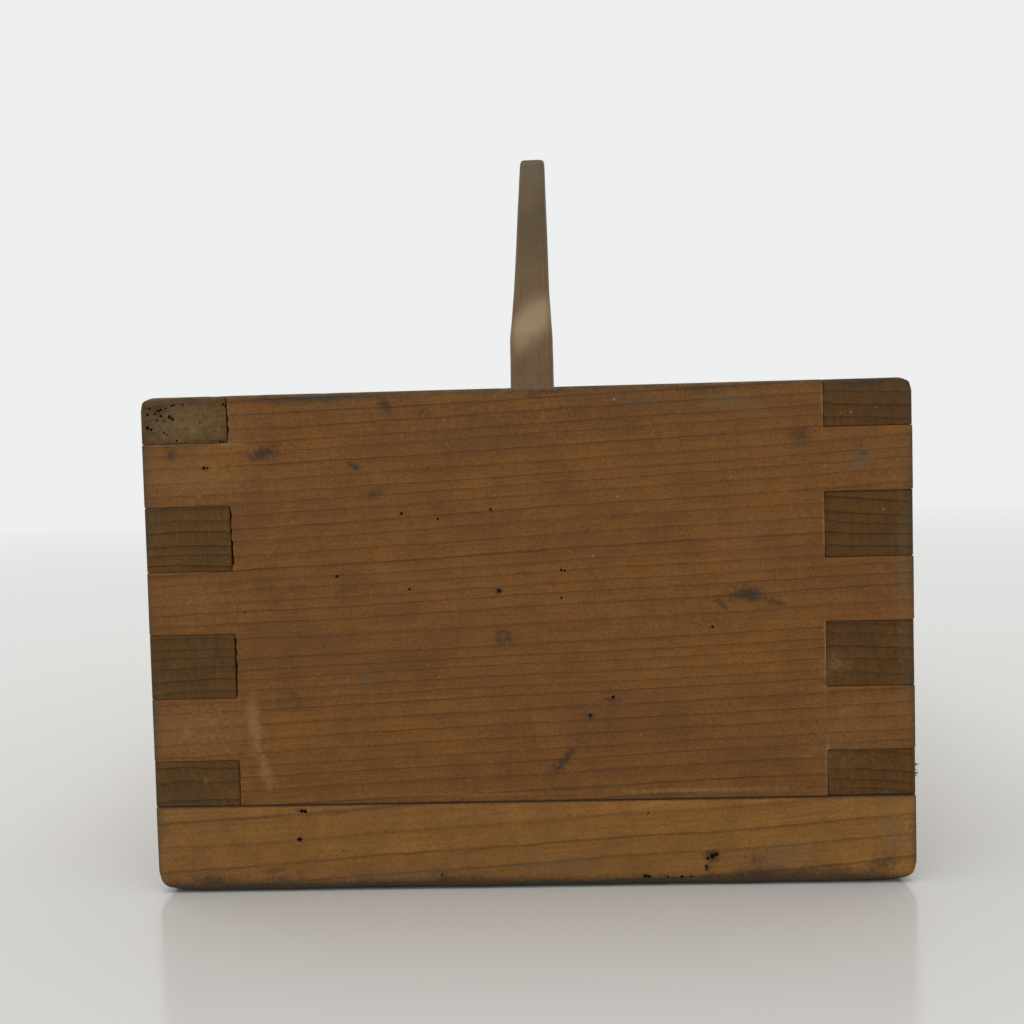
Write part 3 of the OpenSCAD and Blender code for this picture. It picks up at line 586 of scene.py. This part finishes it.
front_cad = points_mm("front_board")
tails = np.unique(np.round(front_cad[np.abs(front_cad[:, X]) > 60][:, Z], 2)).reshape(-1, 2)
end_shoulder = np.abs(front_cad[np.abs(front_cad[:, X]) < 60][:, X]).max()
for end, cad_name, steps, pith, tilt in (("leading", "front_board", (0.95, 3.0, 0.45), (0, -92, -66), 2.2),
                                         ("trailing", "rear_board", (1.5, 3.0, 1.3), (0, 70, -90), -1.5)):
    low, high = box_mm(cad_name)
    boxes = [((-end_shoulder, low[Y], low[Z]), (end_shoulder, high[Y], high[Z]))]
    boxes += [((low[X], low[Y], tail[0]), (high[X], high[Y], tail[1])) for tail in tails]
    end_points, end_faces = sawn_board(boxes, [], steps, soften=0.06)
    end_points = weather(end_points)
    bores = nail_bores("sole_nails", Z, SOLE_NAIL, (SOLE_TOP - 1, sole_nail_tip),
                       within=((-end_shoulder, low[Y]), (end_shoulder, high[Y])))
    if end == "leading":
        end_points = cracked(end_points, 23)
        bores += [((x, low[Y] - 1, z), (x, low[Y] + PIN_HOLE_DEEP, z), radius) for x, z, radius in PIN_HOLES]
    end_board = new_piece(end + "_end_board", end_points, end_faces, "box", [cad_name], bores,
                          wear_marks)
    end_board.data.materials.append(softwood(f"cedar_{end}_board_worn", early="#83541e", late="#46280e", grain=X,
                                             pith=pith, ring=2.1, tilt=tilt, wander=1.3, contrast=0.68))

# ------------------------------------------------------------------------------
# The side boards: the long walls, with four fingers at each end that show their end grain between the tails. The
# fingers have shrunk back a little behind the leading face, worms have bored the left board's top one, and a few
# fibres are torn from the right board's lowest. The pivot pin, the lid's pins and nails pass through.
# ------------------------------------------------------------------------------
def splinters(middle, count, seed):
    """Fibres torn from a board's arris, rooted along 4 mm of height: each is a square prism drawn out to a fine
    end, which leaves the board sideways and bends up or down with the square of its length."""
    draw = np.random.default_rng(seed)
    root = np.array(middle) + draw.uniform(-1, 1, (count, 3)) * (0, 0.5, 1.5)
    reach = draw.uniform(0.4, 1.15, (count, 1, 1))
    bend = draw.uniform(-1.2, 1.2, (count, 1))
    s = np.linspace(0, 1, 6)
    line = root[:, None] + reach * np.stack([s + 0 * bend, 0.2 * s * bend, bend * s ** 2], axis=-1)
    thick = (0.13 * (1 - 0.8 * s))[:, None, None]
    square = np.array([(0, -1, -1), (0, 1, -1), (0, 1, 1), (0, -1, 1)])
    points = (line[:, :, None] + thick * square).reshape(-1, 3)
    ids = np.arange(count * 24).reshape(count, 6, 4)
    return points, np.concatenate([ring_quads(ids), ids[:, 0, ::-1], ids[:, -1]])


# Worm holes in the corner of the left board's top finger: x, z and radius in mm
WORM_HOLES = [(-64.6, 83.6, 0.28), (-62.3, 83.3, 0.26), (-60.8, 83.1, 0.34), (-60.3, 82.7, 0.3), (-64.7, 81.3, 0.36),
              (-64.1, 81.0, 0.26), (-59.7, 79.0, 0.18), (-51.4, 85.0, 0.24), (-51.0, 84.7, 0.24), (-50.6, 84.5, 0.2),
              (-52.1, 78.6, 0.2), (-64.2, 84.6, 0.22), (-62.7, 84.2, 0.24), (-62.3, 84.4, 0.2), (-63.3, 83.7, 0.2),
              (-61.4, 84.6, 0.18), (-60.4, 85.0, 0.2), (-60.0, 85.1, 0.2), (-58.4, 85.2, 0.16), (-63.0, 82.5, 0.2),
              (-61.8, 80.4, 0.2), (-61.4, 80.1, 0.16), (-51.6, 78.6, 0.16), (-61.9, 82.4, 0.16), (-55.6, 82.0, 0.14)]
WORM_DEEP = 1.0
BOARD = np.ptp(box_mm("right_side"), axis=0)[X]
PIN_BORE, LID_PIN_BORE = 3.02, 1.52
socket_edges = tails + (-0.03, 0.03)
pivot = sum(box_mm("pivot_pin")) / 2
lid_pin = sum(box_mm("lid_pins")) / 2
for side, cad_name, shrunk, early, end_tint, seed in ((-1, "left_side", 0.1, "#8b602f", "#bfbf9e", 41),
                                                      (1, "right_side", 0.26, "#865c2c", "#bfb998", 51)):
    low, high = box_mm(cad_name)
    inner = low[X] if side > 0 else high[X]
    outer = high[X] if side > 0 else low[X]
    sockets = [((low[X] - 1, y0, z0), (high[X] + 1, y1, z1)) for z0, z1 in socket_edges
               for y0, y1 in ((low[Y] - 1, low[Y] + BOARD), (high[Y] - BOARD, high[Y] + 1))]
    side_points, side_faces = sawn_board([(low, high)], sockets, (0.45, 4.0, 0.5), soften=0.06)
    side_points = weather(side_points)
    side_points[:, Y] *= 1 - shrunk / high[Y] * (1 + 0.3 * lattice_noise(side_points, (40, 40, 11), seed + 8))
    if side > 0:
        torn_points, torn_faces = splinters((outer - 0.25, low[Y] + 1.2, 18.9), 7, 91)
        side_faces = np.concatenate([side_faces, torn_faces + len(side_points)])
        side_points = np.concatenate([side_points, torn_points])
    x_out, x_in = outer + side, inner - side
    bores = [((x_in, y, z), (x_out, y, z), radius)
             for (_, y, z), radius in ((pivot, PIN_BORE), (lid_pin, LID_PIN_BORE))]
    bores += nail_bores("sole_nails", Z, SOLE_NAIL, (SOLE_TOP - 1, sole_nail_tip), within=(low[:2], high[:2]))
    bores += nail_bores("partition_nails", X, SMALL_NAIL, (x_in, outer - side),
                        (outer - side * (HEAD_SINK + HEAD_DEEP), x_out))
    bores += nail_bores("cleat_nails", X, SMALL_NAIL, (x_in, side * box_mm("cleat_nails")[1][X]))
    if side < 0:
        bores += [((x, low[Y] - 1, z), (x, low[Y] + WORM_DEEP, z), radius) for x, z, radius in WORM_HOLES]
    side_board = new_piece(cad_name + "_board", side_points, side_faces, "box", [cad_name], bores,
                           wear_marks)
    side_board.data.materials.append(softwood("cedar_side_board_" + cad_name.split("_")[0], early=early,
                                              late="#4b3015", grain=Y, pith=(side * 52, 0, -90), ring=2.0,
                                              tilt=0.8 * side, wander=1.0, end_tint=end_tint, contrast=0.95))

# ------------------------------------------------------------------------------
# The boards inside and on top. The deck with the lever's slot is sawn anew, so that it holds its marks of wear.
# Floor, slopes, partition, cleats, slide, cut-off block and lid are the CAD parts themselves, of the same
# softwood, some with arrises eased by a plane stroke. Those that seed slides over are polished by it.
# ------------------------------------------------------------------------------
MERGE_WITHIN, EASE_ABOVE = 0.01, math.radians(50)


def finish_cad(node, material, eased=0.0):
    """Gives a CAD part its material, and eases its sharp edges by that many mm."""
    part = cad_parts[node]
    for slot in part.material_slots:
        slot.material = material
    if eased:
        part.modifiers.new("merge", "WELD").merge_threshold = MERGE_WITHIN / MM
        bevel = part.modifiers.new("eased", "BEVEL")
        bevel.width, bevel.segments, bevel.limit_method = eased / MM, 2, "ANGLE"
        bevel.angle_limit, bevel.harden_normals = EASE_ABOVE, False


def deck_marks(points):
    """Soil round the lever's slot and along the deck's edges, and grey where hands and weather reach."""
    middle, half = (slot_low + slot_high)[Y] / 2, (slot_high - slot_low)[Y] / 2
    to_slot = np.hypot(np.maximum(np.abs(points[:, X]) - slot_high[X], 0),
                       np.maximum(np.abs(points[:, Y] - middle) - half, 0))
    patchy = 0.5 + 0.5 * lattice_noise(points, (11, 7, 9), 82) + 0.25 * lattice_noise(points, 2.1, 83)
    to_rim = np.sort(np.minimum(points - deck_low, deck_high - points), axis=1)[:, 1]
    soil = np.maximum(np.exp(-to_slot / 2.2), 0.8 * np.exp(-np.maximum(to_rim, 0) / 1.6))
    soil *= np.clip(patchy + 0.2, 0, 1)
    return {"soil": soil, "grey": np.clip(patchy * 0.8 - 0.1, 0, 1), "bare": 0 * soil}


deck_low, deck_high = box_mm("deck")
deck_cad = points_mm("deck")
# The slot's corners are the ones near the middle of the deck
SLOT_ASIDE, DECK_MARGIN = 12, 5
deck_slot = deck_cad[(np.abs(deck_cad[:, X]) < SLOT_ASIDE) & (deck_cad[:, Y] > deck_low[Y] + DECK_MARGIN)
                     & (deck_cad[:, Y] < deck_high[Y] - DECK_MARGIN)]
slot_low, slot_high = deck_slot.min(axis=0) - (0, 0, 1), deck_slot.max(axis=0) + (0, 0, 1)
deck_points, deck_faces = sawn_board([(deck_low, deck_high)], [(slot_low, slot_high)], (1.3, 1.3, 1.6), soften=0.17)
deck_points[:, Z] += 0.06 * lattice_noise(deck_points, (30, 12, 30), 81)
deck_bores = nail_bores("deck_nails", Z, SMALL_NAIL, (deck_low[Z] - 1, deck_high[Z] - 1),
                        (deck_high[Z] - HEAD_SINK - HEAD_DEEP, deck_high[Z] + 1))
deck = new_piece("lever_deck", deck_points, deck_faces, "box", ["deck"], deck_bores, deck_marks)
deck.data.materials.append(softwood("cedar_deck_weathered", early="#84603a", late="#4b3019", grain=X,
                                    pith=(0, -30, 30), ring=2.9, wander=2.0, contrast=0.75))

# nodes, early wood, late wood, grain, pith, ring, how dull, easing
for nodes, early, late, grain, pith, ring, dull, eased in (
        (("seed_floor",), "#9c7444", "#6f4a28", Y, (30, 0, -60), 2.8, 0.5, 0.0),
        (("front_slope", "rear_slope"), "#a07a4a", "#74502c", X, (0, -40, -120), 3.0, 0.48, 0.0),
        (("left_slope", "right_slope"), "#a07a4a", "#74502c", Y, (20, 0, -130), 3.0, 0.48, 0.0),
        (("partition",), "#94693c", "#5f3f22", X, (0, 90, -60), 3.2, 0.58, 0.0),
        (("cutoff_block",), "#8d6238", "#5c3b20", X, (0, 20, -50), 2.2, 0.52, 0.35),
        (("left_cleat", "right_cleat"), "#94693c", "#5f3f22", Y, (60, 0, 10), 2.6, 0.62, 0.3),
        (("seed_slide",), "#7d5028", "#4a2c15", Y, (50, 0, -70), 1.8, 0.4, 0.0),
        (("lid",), "#84603a", "#4b3019", X, (0, 150, 10), 3.0, 0.62, 0.0),
        (("lid_battens",), "#94693c", "#5f3f22", X, (0, -10, 10), 2.4, 0.6, 0.35)):
    wood = softwood("cedar_" + nodes[0], early=early, late=late, grain=grain, pith=pith, ring=ring, roughness=dull,
                    end_tint="#b8aa90", contrast=0.7)
    for node in nodes:
        finish_cad(node, wood, eased)

# ------------------------------------------------------------------------------
# Nails, lid pins and washers: cut and forged iron, brown-black with old rust that comes away in spots. The nails
# are sunk below the wood by a punch.
# ------------------------------------------------------------------------------
def rusted_iron(name, bright=0.0):
    """Forged iron under old rust: a dark skin with orange-brown bloom in patches 2 to 4 mm wide and fine grains
    of 0.4 mm, rough wherever the bloom is thick. bright bares the metal, as where a pin rubs."""
    material, add, feed = new_material(name)
    place = add("TexCoord", out="Object")
    size = add("Mapping", {"Vector": place, "Scale": (MM,) * 3})
    bloom = add("TexNoise", {"Vector": size, "Scale": 0.35, "Detail": 5.0, "Roughness": 0.62})
    grain = add("TexNoise", {"Vector": size, "Scale": 2.4, "Detail": 3.0})
    thick = add("MapRange", {"Value": bloom, "From Min": 0.4, "From Max": 0.62}, interpolation_type="SMOOTHSTEP")
    skin = add("Mix", {0: thick, 6: linear("#2f2620"), 7: linear("#6a3d22")}, data_type="RGBA", out=2)
    shade = add("MapRange", {"Value": grain, **NOISE_SPAN, "To Min": 0.7, "To Max": 1.25})
    skin = add("Mix", {0: 1.0, 6: skin, 7: shade}, data_type="RGBA", blend_type="MULTIPLY", out=2)
    metal = add("MapRange", {"Value": thick, "To Min": 0.75 + bright * 0.2, "To Max": 0.05})
    rough = add("MapRange", {"Value": thick, "To Min": 0.48 - bright * 0.15, "To Max": 0.88})
    height = add("Math", {0: grain, 1: 0.12}, operation="MULTIPLY")
    height = add("Math", {0: bloom, 1: 0.25, 2: height}, operation="MULTIPLY_ADD")
    bump = add("Bump", {"Height": height, "Distance": 1 / MM})
    feed({"Base Color": skin, "Metallic": metal, "Roughness": rough, "Normal": bump})
    return material


iron = rusted_iron("rusted_wrought_iron")
for node in ("sole_nails", "floor_nails", "partition_nails", "cleat_nails", "deck_nails", "batten_nails",
             "cutoff_nails", "lid_pins"):
    finish_cad(node, iron)
finish_cad("pin_washers", iron, 0.2)

# ------------------------------------------------------------------------------
# The cut-off brush: tufts of stiff palm fibre set in a row under the block. They stroke surplus seed off the
# slide's cell and spread and curl a little at their tips.
# ------------------------------------------------------------------------------
FIBRES, FIBRE_SIDES, FIBRE_RINGS = 170, 4, 5
brush_low, brush_high = box_mm("cutoff_bristles")
rng = np.random.default_rng(7)
root = np.column_stack([rng.uniform(brush_low[X] + 0.4, brush_high[X] - 0.4, FIBRES),
                        rng.uniform(brush_low[Y] + 0.35, brush_high[Y] - 0.35, FIBRES),
                        np.full(FIBRES, brush_high[Z])])
tip = root.copy()
tip[:, X] = np.clip(tip[:, X] + rng.normal(0, 0.7, FIBRES), brush_low[X] + 0.2, brush_high[X] - 0.2)
tip[:, Y] = np.clip(tip[:, Y] + rng.normal(0, 0.35, FIBRES), brush_low[Y] + 0.15, brush_high[Y] - 0.15)
tip[:, Z] = brush_low[Z] + rng.uniform(0, 0.9, FIBRES)
down = np.linspace(0, 1, FIBRE_RINGS)
turn = np.arange(FIBRE_SIDES) * 2 * np.pi / FIBRE_SIDES
# A fibre is a bent line from root to tip, its bend growing with the square of the way down, and a square section
# that tapers to a third
line = root[:, None] + (tip - root)[:, None] * np.stack([down ** 2, down ** 2, down], axis=1)
thick = rng.uniform(0.16, 0.24, FIBRES)[:, None, None] * (1 - 0.66 * down[None, :, None])
ring = np.stack([np.cos(turn), np.sin(turn), 0 * turn], axis=1)
fibre_points = (line[:, :, None] + thick[..., None] * ring).reshape(-1, 3)
ids = np.arange(FIBRES * FIBRE_RINGS * FIBRE_SIDES).reshape(FIBRES, FIBRE_RINGS, FIBRE_SIDES)
# The rings run downwards, so that their quads are turned over
fibre_faces = np.concatenate([ring_quads(ids)[:, [0, 3, 2, 1]], ids[:, 0], ids[:, -1, ::-1]]).tolist()
brush = new_piece("cutoff_brush", fibre_points, fibre_faces, "box", ["cutoff_bristles"])


def fibre_material(name, pale, dark, across, roughness):
    """Plant fibre, dried and split: dull, with streaks along its length of the given width in mm."""
    material, add, feed = new_material(name)
    place = add("TexCoord", out="Object")
    size = add("Mapping", {"Vector": place, "Scale": np.full(3, MM) / across})
    streak = add("TexNoise", {"Vector": size, "Scale": 1.0, "Detail": 3.0})
    mix = add("MapRange", {"Value": streak, "From Min": 0.35, "From Max": 0.65})
    tint = add("Mix", {0: mix, 6: linear(dark), 7: linear(pale)}, data_type="RGBA", out=2)
    bump = add("Bump", {"Height": streak, "Distance": 0.04 / MM})
    feed({"Base Color": tint, "Roughness": roughness, "Normal": bump})
    return material


palm_fibre = fibre_material("palm_fibre_split", "#6e4a2c", "#33200f", np.array([0.35, 0.35, 4.0]), 0.6)
brush.data.materials.append(palm_fibre)

# ------------------------------------------------------------------------------
# The spacers: two lengths of thin bamboo on the pivot pin, which keep the lever in the middle. Their skin is
# yellow-brown with fine lines along it.
# ------------------------------------------------------------------------------
bamboo = fibre_material("bamboo_cane_cut", "#b18a4e", "#80592c", np.array([16.0, 0.6, 0.6]), 0.42)
for node in ("left_spacer", "right_spacer"):
    finish_cad(node, bamboo, 0.3)

# ------------------------------------------------------------------------------
# The hand lever: one stick of the same wood, cut with a knife. A round foot works the slide, a boss swells round
# the pivot pin, and the blade runs up to a thin grip that hands have greyed and polished.
# ------------------------------------------------------------------------------
LEAN = math.radians(20)
FOOT_AT, FOOT_R, SHANK, BOSS_R = -50.0, 4.5, 3.3, 13.0
BLADE, TIP_AT, TIP_ROUND, WAIST = 12.0, 131.0, 4.0, 1.8
NECK_AT, THIN_AT = 58.0, 78.0
BLADE_THICK, THIN_THICK, GRIP_THICK, GRIP_SHIFT = 7.75, 6.51, 4.6, 1.8
LEVER_EASE, LEVER_BORE = 0.9, 3.05


def lever_section(along):
    """Half depth, half thickness and sideways shift of the lever at each distance along it from the pivot. The
    side view is the widest of a foot circle, a shank that widens to the blade, and the boss circle, and above
    the neck a blade with a slight waist. The front view steps from the foot's 6 mm half thickness to 8 mm, and
    tapers from the neck to the grip. Both draw in to a quarter circle at the two ends."""
    foot = np.sqrt(np.clip(FOOT_R ** 2 - (along - FOOT_AT) ** 2, 0, None))
    shank = np.where(along > FOOT_AT, np.interp(along, [FOOT_AT, 0], [SHANK, BLADE]), 0)
    boss = np.sqrt(np.clip(BOSS_R ** 2 - along ** 2, 0, None))
    waist = WAIST * np.sin(2 * np.pi * np.clip((along - NECK_AT) / (TIP_AT - NECK_AT), 0, 1))
    past = np.clip(along - TIP_AT + TIP_ROUND, 0, None)
    corner = TIP_ROUND - np.sqrt(np.clip(TIP_ROUND ** 2 - past ** 2, 0, None))
    depth = np.where(along < 0, np.maximum(np.maximum(foot, shank), boss),
                     np.maximum(boss, BLADE - waist - corner))
    thick = np.interp(along, [-24, -22, NECK_AT, THIN_AT, TIP_AT + 1],
                      [6, BLADE_THICK, BLADE_THICK, THIN_THICK, GRIP_THICK])
    shift = np.interp(along, [NECK_AT, THIN_AT, TIP_AT + 1], [0, 0.486, GRIP_SHIFT])
    ease = LEVER_EASE - np.sqrt(LEVER_EASE ** 2 - np.clip(along - TIP_AT + LEVER_EASE, 0, LEVER_EASE) ** 2)
    return np.maximum(depth - ease, 0.05), thick - ease, shift


def lever_surface(rings, around, square):
    """The lever's skin: at each ring a superellipse of the section's half depth and half thickness, whose power,
    square, makes it nearly a rectangle with eased corners. Points are placed evenly by angle on the rectangle,
    so that the corners are well covered, and both ends close on a point."""
    along = np.concatenate([FOOT_AT - FOOT_R * np.cos(np.linspace(0.12, np.pi / 2, 14)),
                            np.linspace(FOOT_AT, TIP_AT - TIP_ROUND, rings)[1:],
                            TIP_AT - TIP_ROUND * (1 - np.sin(np.linspace(0, np.pi / 2, 16)))[1:]])
    depth, thick, shift = lever_section(along)
    side = np.linspace(-1, 1, around // 4 + 1)[:-1]
    spread = np.sin(side * np.pi / 2)
    edge = np.ones_like(side)
    u = np.concatenate([spread, edge, -spread, -edge])
    v = np.concatenate([-edge, spread, edge, -spread])
    shrink = (np.abs(u) ** square + np.abs(v) ** square) ** (-1 / square)
    x = shift[:, None] + thick[:, None] * (u * shrink)
    y = depth[:, None] * (v * shrink)
    skin = np.stack([x, y, np.broadcast_to(along[:, None], x.shape)], axis=-1)
    poles = np.array([[0, 0, FOOT_AT - FOOT_R], [shift[-1], 0, TIP_AT]])
    caps = [poles[i] * (1 - f) + skin[ring] * f for i, ring in ((0, 0), (1, -1)) for f in (0.34, 0.72)]
    skin = np.concatenate([caps[0][None], caps[1][None], skin, caps[3][None], caps[2][None]])
    return np.concatenate([skin.reshape(-1, 3), poles]), closed_skin(*skin.shape[:2])


GREY_FROM, RUBBED_AT, SOILED_FROM = 62, 62, 82


def lever_marks(points):
    """Marks of use on the lever: greyed and soiled towards the grip, and a pale rubbed patch below it."""
    local = turned_back(points - (0, pivot[Y], pivot[Z]), -LEAN)
    up = local[:, Z]
    patchy = lattice_noise(local, (5, 5, 14), 62)
    fine = lattice_noise(local, (1.4, 1.4, 3.5), 63)
    grey = np.clip((up - GREY_FROM) / 26, 0, 1) * (0.62 + 0.25 * patchy + 0.12 * fine)
    bare = np.exp(-((up - RUBBED_AT - 0.7 * local[:, X]) / 9.5) ** 2 - ((local[:, X] - 0.3) / 7) ** 4)
    bare *= np.clip(0.95 + 0.3 * patchy + 0.1 * fine, 0, 1)
    top = np.clip((up - TIP_AT + 2.2) / 2.2, 0, 1)
    soil = np.clip(top * (0.55 + 0.5 * fine), 0, 1)
    soil = np.maximum(soil, np.clip((up - SOILED_FROM) / 22, 0, 1) * (0.34 + 0.1 * patchy))
    section = lever_section(up)
    corner = np.minimum(section[1] - np.abs(local[:, X] - section[2]), section[0] - np.abs(local[:, Y]))
    edge = np.minimum(np.abs(section[1] - np.abs(local[:, X] - section[2])) +
                      np.abs(section[0] - np.abs(local[:, Y])), 9)
    soil = np.maximum(soil, 0.55 * np.exp(-edge / 0.8) * np.clip(0.6 + patchy, 0, 1))
    return {"soil": soil, "grey": grey, "bare": bare * (corner < 1.5)}


def turned_back(points, angle):
    """Turns points about the X axis so that their tops go back by the angle."""
    c, s = math.cos(angle), math.sin(angle)
    y, z = points[:, Y], points[:, Z]
    return np.column_stack([points[:, X], y * c + z * s, z * c - y * s])


LEVER_RINGS, LEVER_AROUND, LEVER_SQUARE = 190, 72, 7.0
lever_points, lever_faces = lever_surface(LEVER_RINGS, LEVER_AROUND, LEVER_SQUARE)
dents = 0.07 * lattice_noise(lever_points, (6, 6, 16), 64) + 0.04 * lattice_noise(lever_points, (2, 2, 5), 65)
above_boss = np.clip((lever_points[:, Z] - 20) / 20, 0, 1)
lever_points[:, X] *= 1 + 0.012 * (dents / 0.1 - 1) * above_boss
lever_points[:, Y] *= 1 + 0.008 * (dents / 0.1 - 1) * above_boss
lever_points = turned_back(lever_points, LEAN) + (0, pivot[Y], pivot[Z])
lever_bore = ((-12, pivot[Y], pivot[Z]), (12, pivot[Y], pivot[Z]), LEVER_BORE)
lever = new_piece("hand_lever_stick", lever_points, lever_faces, "lever", ["hand_lever"],
                  [lever_bore], lever_marks)
lever.data.materials.append(softwood("oak_lever_hand_worn", early="#7a5c38", late="#4f3820", grain=Z,
                                     pith=(-40, 66, 0), ring=1.9, tilt=20, wander=0.8, contrast=0.35,
                                     relief=0.04, roughness=0.6, bare_tint="#b39b78", edge_break=0.2))

# ------------------------------------------------------------------------------
# The pivot pin: a forged iron rod through both sides, with a domed head at one end and the other end hammered
# over its washer.
# ------------------------------------------------------------------------------
def turned_along_x(outline, around, middle, hammered):
    """A closed solid of revolution about a line along X: outline lists distance along X and radius in mm, and
    each radius varies round the circle by noise of the hammered amount where the radius passes the rod's."""
    along, radius = np.array(outline).T
    angle = np.linspace(0, 2 * np.pi, around, endpoint=False)
    circle = np.stack([0 * angle, np.cos(angle), np.sin(angle)], axis=1)
    skin = along[:, None, None] * (1, 0, 0) + radius[:, None, None] * circle
    flat = skin.reshape(-1, 3)
    proud = np.repeat(np.clip((radius - PIN_R - 0.2) / 2, 0, 1), around)
    swell = 1 + hammered * proud * lattice_noise(flat, 2.6, 71) / np.maximum(np.repeat(radius, around), 1)
    flat = flat * np.stack([np.ones_like(swell), swell, swell], axis=1)
    poles = np.array([[along[0], 0, 0], [along[-1], 0, 0]])
    return np.concatenate([flat, poles]) + (0, middle[Y], middle[Z]), closed_skin(len(along), around)


PIN_R, HEAD_R, HEAD_H, RIVET_R, RIVET_H = 3.0, 5.3, 2.5, 4.1, 1.5
PIN_AROUND, HAMMERED = 40, 0.22
head_from, rivet_from = box_mm("pin_washers")[0][X], box_mm("pin_washers")[1][X]
dome = np.linspace(0.1, np.pi / 2, 8)
pin_outline = [(head_from - HEAD_H * math.cos(t), HEAD_R * math.sin(t) ** 0.8) for t in dome]
pin_outline += [(head_from + 0.01, HEAD_R - 0.15), (head_from + 0.02, PIN_R)]
pin_outline += [(x, PIN_R) for x in np.linspace(head_from + 1, rivet_from - 1, 30)]
pin_outline += [(rivet_from - 0.02, PIN_R), (rivet_from - 0.01, RIVET_R - 0.15)]
pin_outline += [(rivet_from + RIVET_H * math.cos(t), RIVET_R * math.sin(t) ** 0.6) for t in dome[::-1]]
pin_points, pin_faces = turned_along_x(pin_outline, PIN_AROUND, pivot, HAMMERED)
pin = new_piece("pivot_pin_forged", pin_points, pin_faces, "box", ["pivot_pin"])
pin.data.materials.append(rusted_iron("forged_iron_rubbed", bright=0.5))

# ------------------------------------------------------------------------------
# The stage: a pale glossy table top that fades to a white backdrop, a big soft light overhead, and the camera low
# in front of the leading end, looking along the box.
# ------------------------------------------------------------------------------
scene = bpy.context.scene
scene.view_settings.view_transform = "Standard"
TABLE_DROP, TABLE_AROUND = 0.3, 96
table_rings = np.array([0.1, 0.2, 0.35, 0.5, 0.7, 1.0, 1.6, 2.6]) * MM
table_turn = np.linspace(0, 2 * np.pi, TABLE_AROUND, endpoint=False)
table_x, table_y = np.outer(table_rings, np.cos(table_turn)), np.outer(table_rings, np.sin(table_turn))
table_points = np.stack([table_x, table_y, 0 * table_x], axis=-1).reshape(-1, 3)
ids = np.arange(table_x.size).reshape(table_x.shape)
table_faces = ring_quads(ids)[:, [0, 3, 2, 1]].tolist() + [ids[0].tolist()]
table_top = solid("table_top", table_points - (0, 0, TABLE_DROP), table_faces)

lacquer, add, feed = new_material("white_lacquered_board")
tree = lacquer.node_tree
place = add("TexCoord", out="Object")
away = add("VectorMath", {0: place, 1: (0, -0.1, 0)}, operation="SUBTRACT")
away = add("VectorMath", {0: away}, operation="LENGTH", out="Value")
fade = add("MapRange", {"Value": away, "From Min": 0.45, "From Max": 1.5})
feed({"Base Color": linear("#e6e4e0"), "Roughness": 0.16, "Specular IOR Level": 0.45})
backdrop = add("Emission", {"Color": linear("#eeefef"), "Strength": 1.0})
blend = add("MixShader", {0: fade, 1: tree.nodes["Principled BSDF"].outputs[0], 2: backdrop})
set_inputs(tree, tree.nodes["Material Output"], {"Surface": blend})
table_top.data.materials.append(lacquer)

world = bpy.data.worlds.new("white_room")
world.use_nodes = True
scene.world = world
tree = world.node_tree
add = functools.partial(add_node, tree)
seen = add("LightPath", out=None)
sharp = add("Math", {0: seen["Is Camera Ray"], 1: seen["Is Glossy Ray"]}, operation="MAXIMUM")
bright = add("MapRange", {"Value": sharp, "To Min": 0.55, "To Max": 1.0})
set_inputs(tree, tree.nodes["Background"], {"Color": linear("#eeefef"), "Strength": bright})

lamp = bpy.data.lights.new("soft_box", "AREA")
LAMP_SIDE, LAMP_POWER = 1.6, 10.3
lamp.shape, lamp.size, lamp.size_y, lamp.energy = "RECTANGLE", LAMP_SIDE, LAMP_SIDE, LAMP_POWER
soft_box = placed("soft_box", lamp)
soft_box.matrix_world = Matrix.Translation((-0.12, -0.25, 1.35)) @ Matrix.Rotation(math.radians(-5), 4, "Y") \
    @ Matrix.Rotation(math.radians(-8), 4, "X")

EYE_ASIDE, EYE_BACK, EYE_UP = 0.0268, 1.4324, 0.5577
VIEW_ANGLE, YAW, PITCH, ROLL = 49.7, -1.74, 2.523, -1.493
width = BOX_HIGH[X] - BOX_LOW[X]
eye = np.array([EYE_ASIDE * width, BOX_LOW[Y] - EYE_BACK * width, EYE_UP * width]) / MM
camera_data = bpy.data.cameras.new("camera")
camera_data.sensor_width, camera_data.angle = 36.0, math.radians(VIEW_ANGLE)
camera_data.clip_start = 0.01
camera = placed("camera", camera_data)
yaw, pitch, roll = (math.radians(v) for v in (YAW, PITCH, ROLL))
ahead = np.array([math.sin(yaw) * math.cos(pitch), math.cos(yaw) * math.cos(pitch), -math.sin(pitch)])
right = np.array([math.cos(yaw), -math.sin(yaw), 0])
above = np.cross(right, ahead)
rolled_right = right * math.cos(roll) + above * math.sin(roll)
rolled_up = above * math.cos(roll) - right * math.sin(roll)
camera.matrix_world = Matrix.Translation(eye) @ Matrix(np.column_stack([rolled_right, rolled_up, -ahead])).to_4x4()
scene.camera = camera
